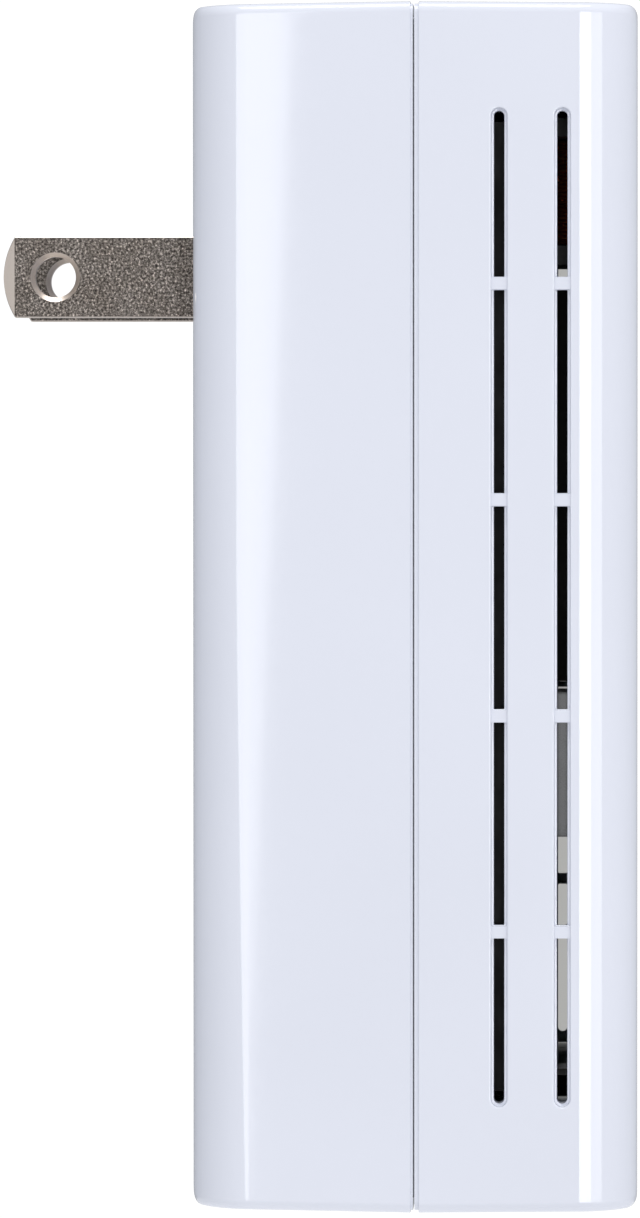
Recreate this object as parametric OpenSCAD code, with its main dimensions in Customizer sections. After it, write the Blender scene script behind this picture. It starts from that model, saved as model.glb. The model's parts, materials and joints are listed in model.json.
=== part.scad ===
// Powerline adapter: a two-shell wall-plug housing with flat blades, a mains board,
// a data board and an Ethernet port. X runs side to side, the front face looks
// toward -Y, the wall side toward +Y, and Z is up. The origin is the centre of the
// plug on the wall-side face.

/* [Body] */
// Width of the body at the seam, side to side
body_w = 54; // [53.6:0.1:56]
// Depth of the body, from the wall side to the front face
body_d = 33.6; // [33.6:0.1:35]
// Height of the body at the seam
body_h = 90.8; // [90.6:0.1:93]
// Wall thickness of both covers
wall = 2; // [1.8:0.05:2.1]
// Radius of the four upright edges
upright_r = 4.5; // [3.5:0.1:5.5]
// Radius of the edges round the top and bottom faces
end_r = 0.8; // [0.5:0.05:1.2]
// Mould draft of the rear cover, in degrees
rear_draft = 0.85; // [0.3:0.05:1.2]
// Mould draft of the front cover, in degrees
front_draft = 0.45; // [0.2:0.05:0.9]

/* [Seam] */
// Gap between the two covers
seam_gap = 0.12; // [0.08:0.02:0.3]
// Width of the shadow groove on the front cover's side of the seam
groove_front = 0.38; // [0.2:0.02:0.6]
// Width of the shadow groove on the rear cover's side of the seam
groove_rear = 0.24; // [0.1:0.02:0.5]
// Depth of the shadow groove
groove_depth = 0.17; // [0.1:0.01:0.4]

/* [Plug] */
// Distance between the centres of the two blades
blade_pitch = 12.7; // [12.6:0.1:12.8]
// Width of a blade
blade_w = 6.35; // [6.1:0.05:6.6]
// Thickness of a blade
blade_t = 1.5; // [1.4:0.05:1.65]
// Length of a blade outside the body
blade_len = 16; // [15.9:0.1:18]
// Diameter of the hole through both blades
blade_hole_d = 3.2; // [3:0.05:3.4]
// Distance from the wall-side face to the centre of the blade hole
blade_hole_y = 11.9; // [11.5:0.05:12.2]
// Height of the plug's centre above the middle of the body
plug_above_mid = 25.4; // [24.8:0.1:25.6]

/* [Vents] */
// Length of each column of vent slots
vent_len = 74.8; // [70:0.1:75]
// Width of a vent slot at the outer face
vent_w = 1.2; // [1:0.05:1.5]
// Width of a vent slot at the inner face
vent_throat_w = 0.78; // [0.6:0.02:0.9]
// Distance from the front face to the front column of slots
vent_front_in = 5.67; // [5.6:0.01:5.8]
// Distance between the two columns of slots
vent_pitch = 4.73; // [4.6:0.01:4.8]
// Thickness of the bars that divide a column
vent_bar = 0.9; // [0.6:0.05:1.2]

/* [Port and controls] */
// Width of the Ethernet jack's metal shield
port_w = 16; // [15.8:0.1:16]
// Height of the Ethernet jack above its board
port_h = 13.4; // [13.2:0.05:13.4]
// Length of the Ethernet jack
port_len = 21; // [20.5:0.1:21]
// How far the pair button and its switch travel
pair_travel = 0.3; // [0.2:0.05:0.3]
// How far the pair button stands out of the bottom face
pair_proud = 0.3; // [0.1:0.05:0.4]
// Diameter of the reset pinhole
reset_hole_d = 1.6; // [1.2:0.1:1.8]

/* [Boards] */
// Thickness of the mains board
mains_t = 1.6; // [1.2:0.1:1.6]
// Thickness of the data board
data_t = 1.2; // [1:0.1:1.2]
// Distance from the wall-side face to the mains board
mains_in = 9; // [8.8:0.1:9]
// Distance from the wall-side face to the data board
data_in = 25; // [24.9:0.05:25]

/* [Hidden] */
$fn = 48;

// Small overlap that makes cuts run past the faces they open
past = 1;
// Play round a piece that drops into a pocket or slot
play = 0.1;

// Body planes
seam_y = -body_d / 2;
mid_z = -plug_above_mid;
half_w = body_w / 2;
half_h = body_h / 2;
rear_lean = tan(rear_draft) * body_d / 2;
front_lean = tan(front_draft) * body_d / 2;
front_inner_y = -body_d + wall;

// Seam tongue and the rebate it sits in
tongue_in = 1.1;
rebate_in = 1;
tongue_len = 1.4;

// Cover screws
screw_x = 19.2;
screw_z = 40.2;
screw_head_r = 2.4;
screw_head_h = 1.8;
screw_shank_r = 1.25;
screw_seat_y = -12;
screw_tip_y = -24;

// Boards
mains_w = 46.8;
mains_top = 36.5;
mains_low = -21;
mains_rear_y = -mains_in;
mains_front_y = -mains_in - mains_t;
data_w = 48.4;
data_top = 36.9;
data_low = -43;
data_rear_y = -data_in;
data_front_y = -data_in - data_t;

// Places on the boards: x, and z from the middle of the body
mains_screw_at = [19.5, -16];
mains_prop_at = [19.5, 13];
data_screws_at = [[-4, 31.5], [20, 31.5]];
header_at = [6, 32];
header_pitch = 2.54;
header_pin = 0.64;
fuse_at = [-14, 31.5];
contact_pin_x = 9;
led_column = [-9, -13, -17];
pair_x = -12;
reset_x = 12.5;
control_y = -28.2;

// Ethernet jack
port_low = -half_h + 0.3;
port_skin = 0.25;
port_cavity_w = 11.9;
port_cavity_rear_y = -15.7;
port_cavity_front_y = -22.6;
port_cavity_depth = 13;
contact_pivot_y = -22.4;
contact_pivot_z = -43;

// ---------------------------------------------------------------- shapes

// Box between two corners
module block(low, high) {
    translate(low) cube(high - low);
}

// Rectangle round the origin with true round corners
module rounded_rect(w, h, r) {
    square([w - 2 * r, h], center = true);
    square([w, h - 2 * r], center = true);
    for (sx = [-1, 1], sy = [-1, 1])
        translate([sx * (w / 2 - r), sy * (h / 2 - r)]) circle(r);
}

// Slot with round ends, its length along the second axis
module stadium(w, len) {
    square([w, len - w], center = true);
    for (s = [-1, 1]) translate([0, s * (len - w) / 2]) circle(w / 2);
}

// Six-sided outline that is widest at the seam: depth first, half width second
module drafted(half, inset) {
    polygon([
        [-body_d + inset, -half + inset + front_lean],
        [seam_y, -half + inset],
        [-inset, -half + inset + rear_lean],
        [-inset, half - inset - rear_lean],
        [seam_y, half - inset],
        [-body_d + inset, half - inset - front_lean]
    ]);
}

// The whole body as a solid, drawn in by inset on every side
module body_form(inset) {
    end_corner = max(end_r - inset, 0.3);
    upright_corner = max(upright_r - inset, 0.5);
    w = body_w - 2 * inset;
    d = body_d - 2 * inset;
    h = body_h - 2 * inset;
    translate([0, 0, mid_z]) intersection() {
        // plan: upright edges and the draft of the sides
        translate([0, 0, -h / 2]) linear_extrude(h) intersection() {
            translate([0, seam_y]) rounded_rect(w, d, upright_corner);
            rotate(90) mirror([0, 1]) drafted(half_w, inset);
        }
        // side view: edges of the end faces and their draft
        rotate([90, 0, 90]) translate([0, 0, -w / 2]) linear_extrude(w) intersection() {
            translate([seam_y, 0]) rounded_rect(d, h, end_corner);
            drafted(half_h, inset);
        }
        // front view: edges between the end faces and the sides
        rotate([90, 0, 0]) translate([0, 0, inset]) linear_extrude(d)
            rounded_rect(w, h, end_corner);
    }
}

// Everything between two depths, wider than the body
module depth_band(y_front, y_rear) {
    block([-half_w - past, y_front, mid_z - half_h - past],
          [half_w + past, y_rear, mid_z + half_h + past]);
}

// Places children at x and z from the middle of the body, at depth y
module at(x, z, y = 0) {
    translate([x, y, mid_z + z]) children();
}

// Round bar along the depth, from y_front to y_rear
module depth_rod(x, z, r, y_front, y_rear) {
    at(x, z, y_rear) rotate([90, 0, 0]) cylinder(r = r, h = y_rear - y_front);
}

// Children stand on a board: their own Z grows toward the front of the body
module facing_front(x, z, board_y) {
    at(x, z, board_y) rotate([90, 0, 0]) children();
}

// Children stand on a board: their own Z grows toward the wall side
module facing_rear(x, z, board_y) {
    at(x, z, board_y) rotate([-90, 0, 0]) children();
}

// Box standing on the plane z = 0, centred on the origin
module standing_box(w, d, h) {
    translate([-w / 2, -d / 2, 0]) cube([w, d, h]);
}

// Chip with a row of gull-wing legs along two sides
module legged_chip(w, d, h, legs, pitch, leg_w, reach) {
    foot = 0.25;
    translate([0, 0, foot]) standing_box(w, d, h - foot);
    for (i = [0 : legs - 1], s = [-1, 1])
        translate([(i - (legs - 1) / 2) * pitch, s * (d / 2 + reach / 2 - play), 0])
            standing_box(leg_w, reach + 2 * play, foot + play);
}

// Can capacitor standing on its board: rolled groove near the foot
module can_capacitor(r, h) {
    groove = 0.35;
    groove_low = 1.4;
    bead = 0.7;
    cylinder(r = r, h = groove_low);
    translate([0, 0, groove_low]) cylinder(r = r - groove, h = bead);
    translate([0, 0, groove_low + bead]) cylinder(r = r, h = h - groove_low - bead);
}

// Screw along its own -Z, with its head above z = 0 and a cross recess
module cross_screw(head_r, head_h, shank_r, shank_len) {
    recess_w = head_r * 0.25;
    recess_l = head_r * 1.2;
    difference() {
        union() {
            cylinder(r1 = head_r, r2 = head_r * 0.8, h = head_h);
            translate([0, 0, -shank_len]) cylinder(r = shank_r, h = shank_len);
        }
        for (turn = [0, 90]) rotate(turn)
            translate([-recess_l / 2, -recess_w / 2, head_h * 0.45])
                cube([recess_l, recess_w, head_h]);
    }
}

// ---------------------------------------------------------------- covers

// One column of vent slots, cut from outside into the side wall at x = half_w
module vent_column(y) {
    rim_drop = 0.18;
    recess = 0.75;
    seg_gap = vent_len / 4.62;
    throat_len = vent_len - (vent_w - vent_throat_w);
    bars = [-1.5, -0.5, 0.5, 1.5];
    face_x = half_w;
    translate([face_x, y, mid_z]) rotate([90, 0, 90]) {
        translate([0, 0, -rim_drop - front_lean]) linear_extrude(past + rim_drop + front_lean)
            stadium(vent_w, vent_len);
        difference() {
            union() {
                translate([0, 0, -recess]) linear_extrude(recess)
                    stadium(vent_w, vent_len);
                translate([0, 0, -wall - past]) linear_extrude(wall + past)
                    stadium(vent_throat_w, throat_len);
            }
            for (b = bars) translate([-vent_w, b * seg_gap - vent_bar / 2, -wall - 2 * past])
                cube([2 * vent_w, vent_bar, wall + 3 * past]);
        }
    }
}

// Opening for the Ethernet jack, cut through the bottom wall of both covers
module port_cut() {
    cut_play = 0.3;
    block([-port_w / 2 - cut_play, data_rear_y - cut_play, mid_z - half_h - past],
          [port_w / 2 + cut_play, data_rear_y + port_h + cut_play, mid_z - half_h + wall + past]);
}

module rear_cover() color([0.87, 0.89, 0.93]) {
    boss_r = 3.4;
    bore_r = 2.6;
    shank_hole_r = 1.5;
    prop_r = 2.4;
    pilot_r = 0.85;
    pilot_len = 5;
    slot_play = 0.06;
    label = label_size();
    difference() {
        union() {
            difference() {
                body_form(0);
                body_form(wall);
                // rebate for the front cover's tongue
                intersection() {
                    body_form(rebate_in);
                    depth_band(seam_y - past, seam_y + tongue_len + 2 * play);
                }
            }
            intersection() {
                body_form(wall / 2);
                union() {
                    for (sx = [-1, 1], sz = [-1, 1])
                        depth_rod(sx * screw_x, sz * screw_z, boss_r, seam_y - past, -wall / 2);
                    for (sx = [-1, 1], at_z = [mains_screw_at[1], mains_prop_at[1]])
                        depth_rod(sx * mains_screw_at[0], at_z, prop_r, mains_rear_y, -wall / 2);
                }
            }
        }
        // everything on the front cover's side of the gap
        depth_band(-body_d - past, seam_y + seam_gap / 2);
        // clear the tongue where it passes the screw bosses
        difference() {
            depth_band(seam_y - past, seam_y + tongue_len + 2 * play);
            body_form(wall + play);
            difference() {
                depth_band(seam_y - past, seam_y + tongue_len + 3 * play);
                body_form(rebate_in);
            }
        }
        // shadow groove
        difference() {
            depth_band(seam_y - past, seam_y + groove_rear);
            body_form(groove_depth);
        }
        // screw wells from the wall side
        for (sx = [-1, 1], sz = [-1, 1]) {
            depth_rod(sx * screw_x, sz * screw_z, bore_r, screw_seat_y, past);
            depth_rod(sx * screw_x, sz * screw_z, shank_hole_r, seam_y - past, screw_seat_y + past);
        }
        // pilot holes for the mains board screws
        for (sx = [-1, 1])
            depth_rod(sx * mains_screw_at[0], mains_screw_at[1], pilot_r,
                      mains_rear_y - past, mains_rear_y + pilot_len);
        // blade slots
        for (s = [-1, 1])
            block([s * blade_pitch / 2 - blade_t / 2 - slot_play, -wall - past,
                   -blade_w / 2 - slot_play],
                  [s * blade_pitch / 2 + blade_t / 2 + slot_play, past,
                   blade_w / 2 + slot_play]);
        // label recess
        at(0, label_mid()) rotate([-90, 0, 0]) translate([0, 0, -label_sink()])
            linear_extrude(past) rounded_rect(label[0] + 3 * play, label[1] + 3 * play, 1.5);
        port_cut();
    }
}

module front_cover() color([0.89, 0.90, 0.94]) {
    boss_r = 2.7;
    pilot_r = 1.3;
    post_r = 2.2;
    post_pilot_r = 0.8;
    post_pilot_len = 4.6;
    window_r = 1.05;
    button_play = 0.15;
    pair = pair_size();
    difference() {
        union() {
            difference() {
                intersection() {
                    body_form(0);
                    depth_band(-body_d - past, seam_y - seam_gap / 2);
                }
                body_form(wall);
            }
            // tongue that reaches into the rear cover
            difference() {
                intersection() {
                    body_form(tongue_in);
                    depth_band(seam_y - wall, seam_y + tongue_len);
                }
                body_form(wall);
            }
            intersection() {
                body_form(wall / 2);
                union() {
                    for (sx = [-1, 1], sz = [-1, 1])
                        depth_rod(sx * screw_x, sz * screw_z, boss_r, -body_d + wall / 2,
                                  seam_y - seam_gap / 2);
                    for (p = data_screws_at)
                        depth_rod(p[0], p[1], post_r, -body_d + wall / 2, data_front_y);
                }
            }
        }
        // shadow groove
        difference() {
            depth_band(seam_y - groove_front, seam_y + past - 0.5);
            body_form(groove_depth);
        }
        // pilot holes for the cover screws and the data board screws
        for (sx = [-1, 1], sz = [-1, 1])
            depth_rod(sx * screw_x, sz * screw_z, pilot_r, screw_tip_y - past, seam_y + past);
        for (p = data_screws_at)
            depth_rod(p[0], p[1], post_pilot_r, data_front_y - post_pilot_len, data_front_y + past);
        // vents on both sides
        for (side = [0, 1], column = [0, 1])
            mirror([side, 0, 0]) vent_column(-body_d + vent_front_in + column * vent_pitch);
        // windows for the light pipe
        for (z = led_column) depth_rod(0, z, window_r, -body_d - past, front_inner_y + past);
        // slot for the pair button and pinhole for the reset switch
        at(pair_x, -half_h - past, control_y) linear_extrude(wall + 2 * past)
            rotate(90) stadium(pair[1] + 2 * button_play, pair[0] + 2 * button_play);
        at(reset_x, -half_h - past, control_y) cylinder(d = reset_hole_d, h = wall + 2 * past);
        port_cut();
    }
}

module cover_screws() color("silver") {
    for (sx = [-1, 1], sz = [-1, 1])
        at(sx * screw_x, sz * screw_z, screw_seat_y) rotate([-90, 0, 0])
            cross_screw(screw_head_r, screw_head_h, screw_shank_r, screw_seat_y - screw_tip_y);
}

// Width and height of the blank rating label, its middle, and its recess depth
function label_size() = [26, 32];
function label_mid() = -14;
function label_sink() = 0.2;

module rating_label() color("whitesmoke") {
    label = label_size();
    thick = 0.12;
    at(0, label_mid()) rotate([-90, 0, 0]) translate([0, 0, -label_sink()])
        linear_extrude(thick) rounded_rect(label[0], label[1], 1.35);
}

// ---------------------------------------------------------------- plug

// One blade round the origin: bevelled tip with an arched end, and a countersunk hole
module blade() {
    tip_r = 5.83;
    tip_rise = tip_r - sqrt(pow(tip_r, 2) - pow(blade_w / 2, 2));
    tip_t = blade_t * 0.45;
    bevel_len = tip_rise;
    edge = 0.12;
    sink = 0.3;
    tail = 8.4;
    total = blade_len + tail;
    difference() {
        intersection() {
            // section across the blade, with small bevels on its long edges
            translate([0, blade_len, 0]) rotate([90, 0, 0]) linear_extrude(total) polygon([
                [-blade_t / 2, -blade_w / 2 + edge], [-blade_t / 2 + edge, -blade_w / 2],
                [blade_t / 2 - edge, -blade_w / 2], [blade_t / 2, -blade_w / 2 + edge],
                [blade_t / 2, blade_w / 2 - edge], [blade_t / 2 - edge, blade_w / 2],
                [-blade_t / 2 + edge, blade_w / 2], [-blade_t / 2, blade_w / 2 - edge]
            ]);
            // thickness, thinner toward the tip
            translate([0, 0, -blade_w]) linear_extrude(2 * blade_w) polygon([
                [-blade_t / 2, -tail], [blade_t / 2, -tail],
                [blade_t / 2, blade_len - bevel_len], [tip_t / 2, blade_len],
                [-tip_t / 2, blade_len], [-blade_t / 2, blade_len - bevel_len]
            ]);
            // arched end
            union() {
                translate([-blade_t, blade_len - tip_r, 0]) rotate([0, 90, 0])
                    cylinder(r = tip_r, h = 2 * blade_t, $fn = 96);
                block([-blade_t, -tail, -blade_w], [blade_t, blade_len - tip_r, blade_w]);
            }
        }
        translate([-blade_t, blade_hole_y, 0]) rotate([0, 90, 0])
            cylinder(d = blade_hole_d, h = 2 * blade_t);
        for (s = [-1, 1]) translate([s * blade_t / 2, blade_hole_y, 0]) rotate([0, s * 90, 0])
            translate([0, 0, -sink])
                cylinder(d1 = blade_hole_d, d2 = blade_hole_d + 4 * sink, h = 2 * sink);
    }
}

module blade_left() color([0.62, 0.60, 0.57]) translate([-blade_pitch / 2, 0, 0]) blade();

module blade_right() color([0.62, 0.60, 0.57]) translate([blade_pitch / 2, 0, 0]) blade();

module blade_carrier() color([0.25, 0.25, 0.27]) {
    half_x = 11.5;
    half_z = 5.6;
    rear_y = -wall;
    front_y = -7;
    slot_play = 0.04;
    relief = 3;
    relief_depth = 1.5;
    difference() {
        block([-half_x, front_y, -half_z], [half_x, rear_y, half_z]);
        for (s = [-1, 1])
            block([s * blade_pitch / 2 - blade_t / 2 - slot_play, front_y - past,
                   -blade_w / 2 - slot_play],
                  [s * blade_pitch / 2 + blade_t / 2 + slot_play, rear_y + past,
                   blade_w / 2 + slot_play]);
        block([-relief / 2, front_y - past, -half_z - past],
              [relief / 2, front_y + relief_depth, half_z + past]);
    }
}

// Two brass strips, each from a blade's tail to a pin through the mains board
module blade_contacts() color([0.80, 0.65, 0.32]) {
    strip_t = 0.4;
    strip_half = 2;
    pin_r = 0.45;
    pin_len = 2.4;
    inner_x = blade_pitch / 2 + blade_t / 2;
    foot_end = contact_pin_x + 1.2;
    top_y = -7.1;
    for (s = [0, 1]) mirror([s, 0, 0]) {
        block([inner_x, mains_rear_y, -strip_half], [inner_x + strip_t, top_y, strip_half]);
        block([inner_x, mains_rear_y, -strip_half],
              [foot_end, mains_rear_y + strip_t, strip_half]);
        translate([contact_pin_x, mains_rear_y, 0]) rotate([90, 0, 0])
            cylinder(r = pin_r, h = pin_len);
    }
}

// ---------------------------------------------------------------- mains board

module mains_board() color([0.72, 0.60, 0.36]) {
    screw_hole_r = 1.2;
    pin_hole_r = 0.6;
    difference() {
        block([-mains_w / 2, mains_front_y, mid_z + mains_low],
              [mains_w / 2, mains_rear_y, mid_z + mains_top]);
        for (sx = [-1, 1])
            depth_rod(sx * mains_screw_at[0], mains_screw_at[1], screw_hole_r,
                      mains_front_y - past, mains_rear_y + past);
        for (sx = [-1, 1])
            depth_rod(sx * contact_pin_x, plug_above_mid, pin_hole_r,
                      mains_front_y - past, mains_rear_y + past);
        header_holes(mains_front_y, mains_rear_y);
        for (s = [-1, 1])
            depth_rod(fuse_at[0] + s * fuse_span() / 2, fuse_at[1], 0.4,
                      mains_front_y - past, mains_rear_y + past);
    }
}

module mains_board_screws() color("silver") {
    for (sx = [-1, 1])
        facing_front(sx * mains_screw_at[0], mains_screw_at[1], mains_front_y)
            cross_screw(2, 1.4, 0.8, 6);
}

// Distance between the two leads of the fuse
function fuse_span() = 15.6;

module fuse() color([0.92, 0.90, 0.84]) {
    body_r = 2.3;
    cap_r = 2.6;
    body_len = 13;
    cap_len = 2.4;
    lead_r = 0.32;
    axis_up = 3;
    lead_below = 2.6;
    facing_front(fuse_at[0], fuse_at[1], mains_front_y) {
        translate([-body_len / 2, 0, axis_up]) rotate([0, 90, 0]) cylinder(r = body_r, h = body_len);
        for (s = [-1, 1]) {
            translate([s * (body_len - cap_len) / 2 - cap_len / 2, 0, axis_up]) rotate([0, 90, 0])
                cylinder(r = cap_r, h = cap_len);
            translate([s * fuse_span() / 2, 0, -lead_below])
                cylinder(r = lead_r, h = axis_up + lead_below);
        }
        translate([-fuse_span() / 2 - lead_r, 0, axis_up]) rotate([0, 90, 0])
            cylinder(r = lead_r, h = fuse_span() + 2 * lead_r);
    }
}

module varistor() color([0.16, 0.30, 0.55]) {
    disc_r = 5;
    disc_t = 3.6;
    lift = 0.8;
    lead_r = 0.35;
    lead_apart = 5;
    facing_front(18, 31.4, mains_front_y) {
        translate([-disc_t / 2, 0, disc_r + lift]) rotate([0, 90, 0]) cylinder(r = disc_r, h = disc_t);
        for (s = [-1, 1]) translate([0, s * lead_apart / 2, 0]) cylinder(r = lead_r, h = disc_r);
    }
}

module line_capacitor() color([0.88, 0.80, 0.22]) {
    facing_front(-13.5, 18, mains_front_y) standing_box(17.5, 8, 12.8);
}

// Ring section shared by the choke's core and its windings
choke_at = [12.5, 16.5];
choke_lift = 1;
choke_in_r = 3.5;
choke_out_r = 6.2;
choke_h = 5;
winding_t = 0.6;

module choke_core() color([0.20, 0.22, 0.21]) {
    facing_front(choke_at[0], choke_at[1], mains_front_y) rotate_extrude()
        translate([choke_in_r, choke_lift]) square([choke_out_r - choke_in_r, choke_h]);
}

module choke_windings() color([0.72, 0.38, 0.18]) {
    skin = 0.02;
    arc = 124;
    facing_front(choke_at[0], choke_at[1], mains_front_y)
        for (start = [-arc / 2, 180 - arc / 2]) rotate(start) rotate_extrude(angle = arc)
            difference() {
                translate([choke_in_r - winding_t, choke_lift - winding_t])
                    square([choke_out_r - choke_in_r + 2 * winding_t, choke_h + 2 * winding_t]);
                translate([choke_in_r - skin, choke_lift - skin])
                    square([choke_out_r - choke_in_r + 2 * skin, choke_h + 2 * skin]);
            }
}

module bridge_rectifier() color([0.14, 0.14, 0.15]) {
    facing_rear(-13, 2, mains_rear_y) legged_chip(8.4, 6.4, 3.2, 2, 5.1, 1.2, 1.2);
}

module bulk_capacitors() color([0.13, 0.13, 0.16]) {
    can_r = 4;
    can_h = 12.6;
    for (z = [4.4, -5])
        facing_front(-18.5, z, mains_front_y) can_capacitor(can_r, can_h);
}

module filter_inductor() color([0.24, 0.26, 0.25]) {
    flange_r = 3;
    waist_r = 2.5;
    height = 7.6;
    flange_h = 1.2;
    facing_front(-8.2, 10.3, mains_front_y) {
        cylinder(r = flange_r, h = flange_h);
        cylinder(r = waist_r, h = height);
        translate([0, 0, height - flange_h]) cylinder(r = flange_r, h = flange_h);
    }
}

module power_controller() color([0.13, 0.13, 0.14]) {
    facing_rear(-2, 6, mains_rear_y) legged_chip(4.9, 3.9, 1.6, 4, 1.27, 0.45, 1);
}

// Transformer: a ferrite frame round a taped winding
transformer_at = [-2.5, -0.6];
transformer_w = 16;
transformer_d = 5;
transformer_h = 12.6;
transformer_leg = 3;
transformer_lift = 0.8;

module transformer_core() color([0.22, 0.23, 0.23]) {
    centre_leg = 4;
    facing_front(transformer_at[0], transformer_at[1], mains_front_y)
        translate([0, 0, transformer_lift]) difference() {
            standing_box(transformer_w, transformer_d, transformer_h - transformer_lift);
            for (s = [-1, 1])
                translate([s * (transformer_w / 2 - transformer_leg + centre_leg / 2) / 2, 0,
                           transformer_leg])
                    standing_box(transformer_w / 2 - transformer_leg - centre_leg / 2,
                                 transformer_d + past,
                                 transformer_h - transformer_lift - 2 * transformer_leg);
        }
}

module transformer_winding() color([0.87, 0.74, 0.20]) {
    window_h = transformer_h - transformer_lift - 2 * transformer_leg;
    window_w = transformer_w - 2 * transformer_leg - 2 * play;
    depth = 13.6;
    hole_w = 4 + 2 * play;
    hole_d = transformer_d + 2 * play;
    facing_front(transformer_at[0], transformer_at[1], mains_front_y)
        translate([0, 0, transformer_lift + transformer_leg + play]) difference() {
            linear_extrude(window_h - 2 * play) rounded_rect(window_w, depth, 2.4);
            translate([0, 0, -past]) standing_box(hole_w, hole_d, window_h + 2 * past);
        }
}

module optocoupler() color([0.90, 0.90, 0.88]) {
    facing_rear(-2, -8, mains_rear_y) legged_chip(4.6, 6.5, 3.5, 2, 2.54, 1.1, 1);
}

module output_diode() color([0.13, 0.13, 0.14]) {
    facing_rear(12, -4, mains_rear_y) legged_chip(5.9, 6.9, 2.3, 1, 1, 3, 0.9);
}

module output_capacitors() color([0.12, 0.20, 0.34]) {
    can_r = 3.15;
    can_h = 11;
    for (z = [3.6, -4.4])
        facing_front(10.6, z, mains_front_y) can_capacitor(can_r, can_h);
}

module disc_capacitor() color([0.20, 0.42, 0.68]) {
    disc_r = 4;
    disc_t = 2.8;
    lift = 0.8;
    lead_r = 0.3;
    lead_apart = 5;
    facing_front(18.6, 1, mains_front_y) {
        translate([-disc_t / 2, 0, disc_r + lift]) rotate([0, 90, 0]) cylinder(r = disc_r, h = disc_t);
        for (s = [-1, 1]) translate([0, s * lead_apart / 2, 0]) cylinder(r = lead_r, h = disc_r);
    }
}

// ---------------------------------------------------------------- between the boards

// Holes for the pins of the board header
module header_holes(y_front, y_rear) {
    hole_r = 0.55;
    for (ix = [-1.5 : 1 : 1.5], iz = [-0.5, 0.5])
        depth_rod(header_at[0] + ix * header_pitch, header_at[1] + iz * header_pitch, hole_r,
                  y_front - past, y_rear + past);
}

module board_header() color([0.15, 0.15, 0.15]) {
    base_h = 2.5;
    facing_front(header_at[0], header_at[1], mains_front_y) difference() {
        standing_box(4 * header_pitch, 2 * header_pitch, base_h);
        for (ix = [-1.5 : 1 : 1.5], iz = [-0.5, 0.5])
            translate([ix * header_pitch, iz * header_pitch, -past])
                standing_box(header_pin + play, header_pin + play, base_h + 2 * past);
    }
}

module header_pins() color([0.85, 0.72, 0.38]) {
    rear_end = mains_rear_y + 0.9;
    front_end = data_front_y - 0.9;
    for (ix = [-1.5 : 1 : 1.5], iz = [-0.5, 0.5])
        facing_front(header_at[0] + ix * header_pitch, header_at[1] + iz * header_pitch, rear_end)
            standing_box(header_pin, header_pin, rear_end - front_end);
}

// Black film folded into a channel behind the data board
module insulator_film() color([0.09, 0.09, 0.10]) {
    film_t = 0.4;
    out_x = 24.4;
    base_rear_y = -24.2;
    flange_rear_y = -12;
    top = 36.5;
    base_low = -10;
    header_play = 0.6;
    screw_hole_r = 2.4;
    difference() {
        union() {
            block([-out_x, base_rear_y - film_t, mid_z + base_low],
                  [out_x, base_rear_y, mid_z + top]);
            for (s = [0, 1]) mirror([s, 0, 0])
                block([out_x - film_t, base_rear_y - film_t, mid_z - top],
                      [out_x, flange_rear_y, mid_z + top]);
        }
        facing_front(header_at[0], header_at[1], base_rear_y + past)
            standing_box(4 * header_pitch + 2 * header_play, 2 * header_pitch + 2 * header_play,
                         film_t + 2 * past);
        for (p = data_screws_at)
            depth_rod(p[0], p[1], screw_hole_r, base_rear_y - film_t - past, base_rear_y + past);
    }
}

// ---------------------------------------------------------------- data board

module data_board() color([0.10, 0.34, 0.20]) {
    notch_r = 3;
    screw_hole_r = 1.1;
    difference() {
        block([-data_w / 2, data_front_y, mid_z + data_low],
              [data_w / 2, data_rear_y, mid_z + data_top]);
        for (sx = [-1, 1], sz = [-1, 1])
            depth_rod(sx * screw_x, sz * screw_z, notch_r, data_front_y - past, data_rear_y + past);
        for (sx = [-1, 1])
            block([sx * (screw_x + 4) - 4, data_front_y - past, mid_z + data_low - past],
                  [sx * (screw_x + 4) + 4, data_rear_y + past, mid_z - screw_z]);
        for (p = data_screws_at)
            depth_rod(p[0], p[1], screw_hole_r, data_front_y - past, data_rear_y + past);
        header_holes(data_front_y, data_rear_y);
        for (s = [-1, 1]) {
            depth_rod(s * port_peg_x(), port_peg_z(), port_peg_r() + 0.05,
                      data_front_y - past, data_rear_y + past);
            depth_rod(s * port_tab_x(), port_tab_z(), 0.9, data_front_y - past, data_rear_y + past);
        }
    }
}

module data_board_screws() color("silver") {
    for (p = data_screws_at)
        facing_rear(p[0], p[1], data_rear_y) cross_screw(1.9, 1.1, 0.75, 5.2);
}

// Chip, pad and heat sink stack up from the board
chip_at = [0, 9.5];
chip_w = 12;
chip_h = 0.85;
pad_h = 0.25;

module modem_chip() color([0.12, 0.12, 0.13]) {
    facing_front(chip_at[0], chip_at[1], data_front_y) standing_box(chip_w, chip_w, chip_h);
}

module thermal_pad() color([0.62, 0.68, 0.74]) {
    facing_front(chip_at[0], chip_at[1], data_front_y - chip_h) standing_box(chip_w, chip_w, pad_h);
}

module heat_sink() color([0.10, 0.10, 0.11]) {
    sink_w = 28;
    sink_len = 31;
    base_h = 1.2;
    fin_h = 2.7;
    fin_t = 1.2;
    fins = 7;
    facing_front(chip_at[0], chip_at[1], data_front_y - chip_h - pad_h) {
        standing_box(sink_w, sink_len, base_h);
        for (i = [0 : fins - 1])
            translate([(i / (fins - 1) - 0.5) * (sink_w - fin_t), 0, base_h - play])
                standing_box(fin_t, sink_len, fin_h + play);
    }
}

module memory_chip() color([0.13, 0.13, 0.14]) {
    facing_front(19, 9, data_front_y) standing_box(7.5, 12, 1);
}

module flash_chip() color([0.13, 0.13, 0.14]) {
    facing_front(19, -3, data_front_y) legged_chip(4.9, 3.9, 1.5, 4, 1.27, 0.45, 1);
}

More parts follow.
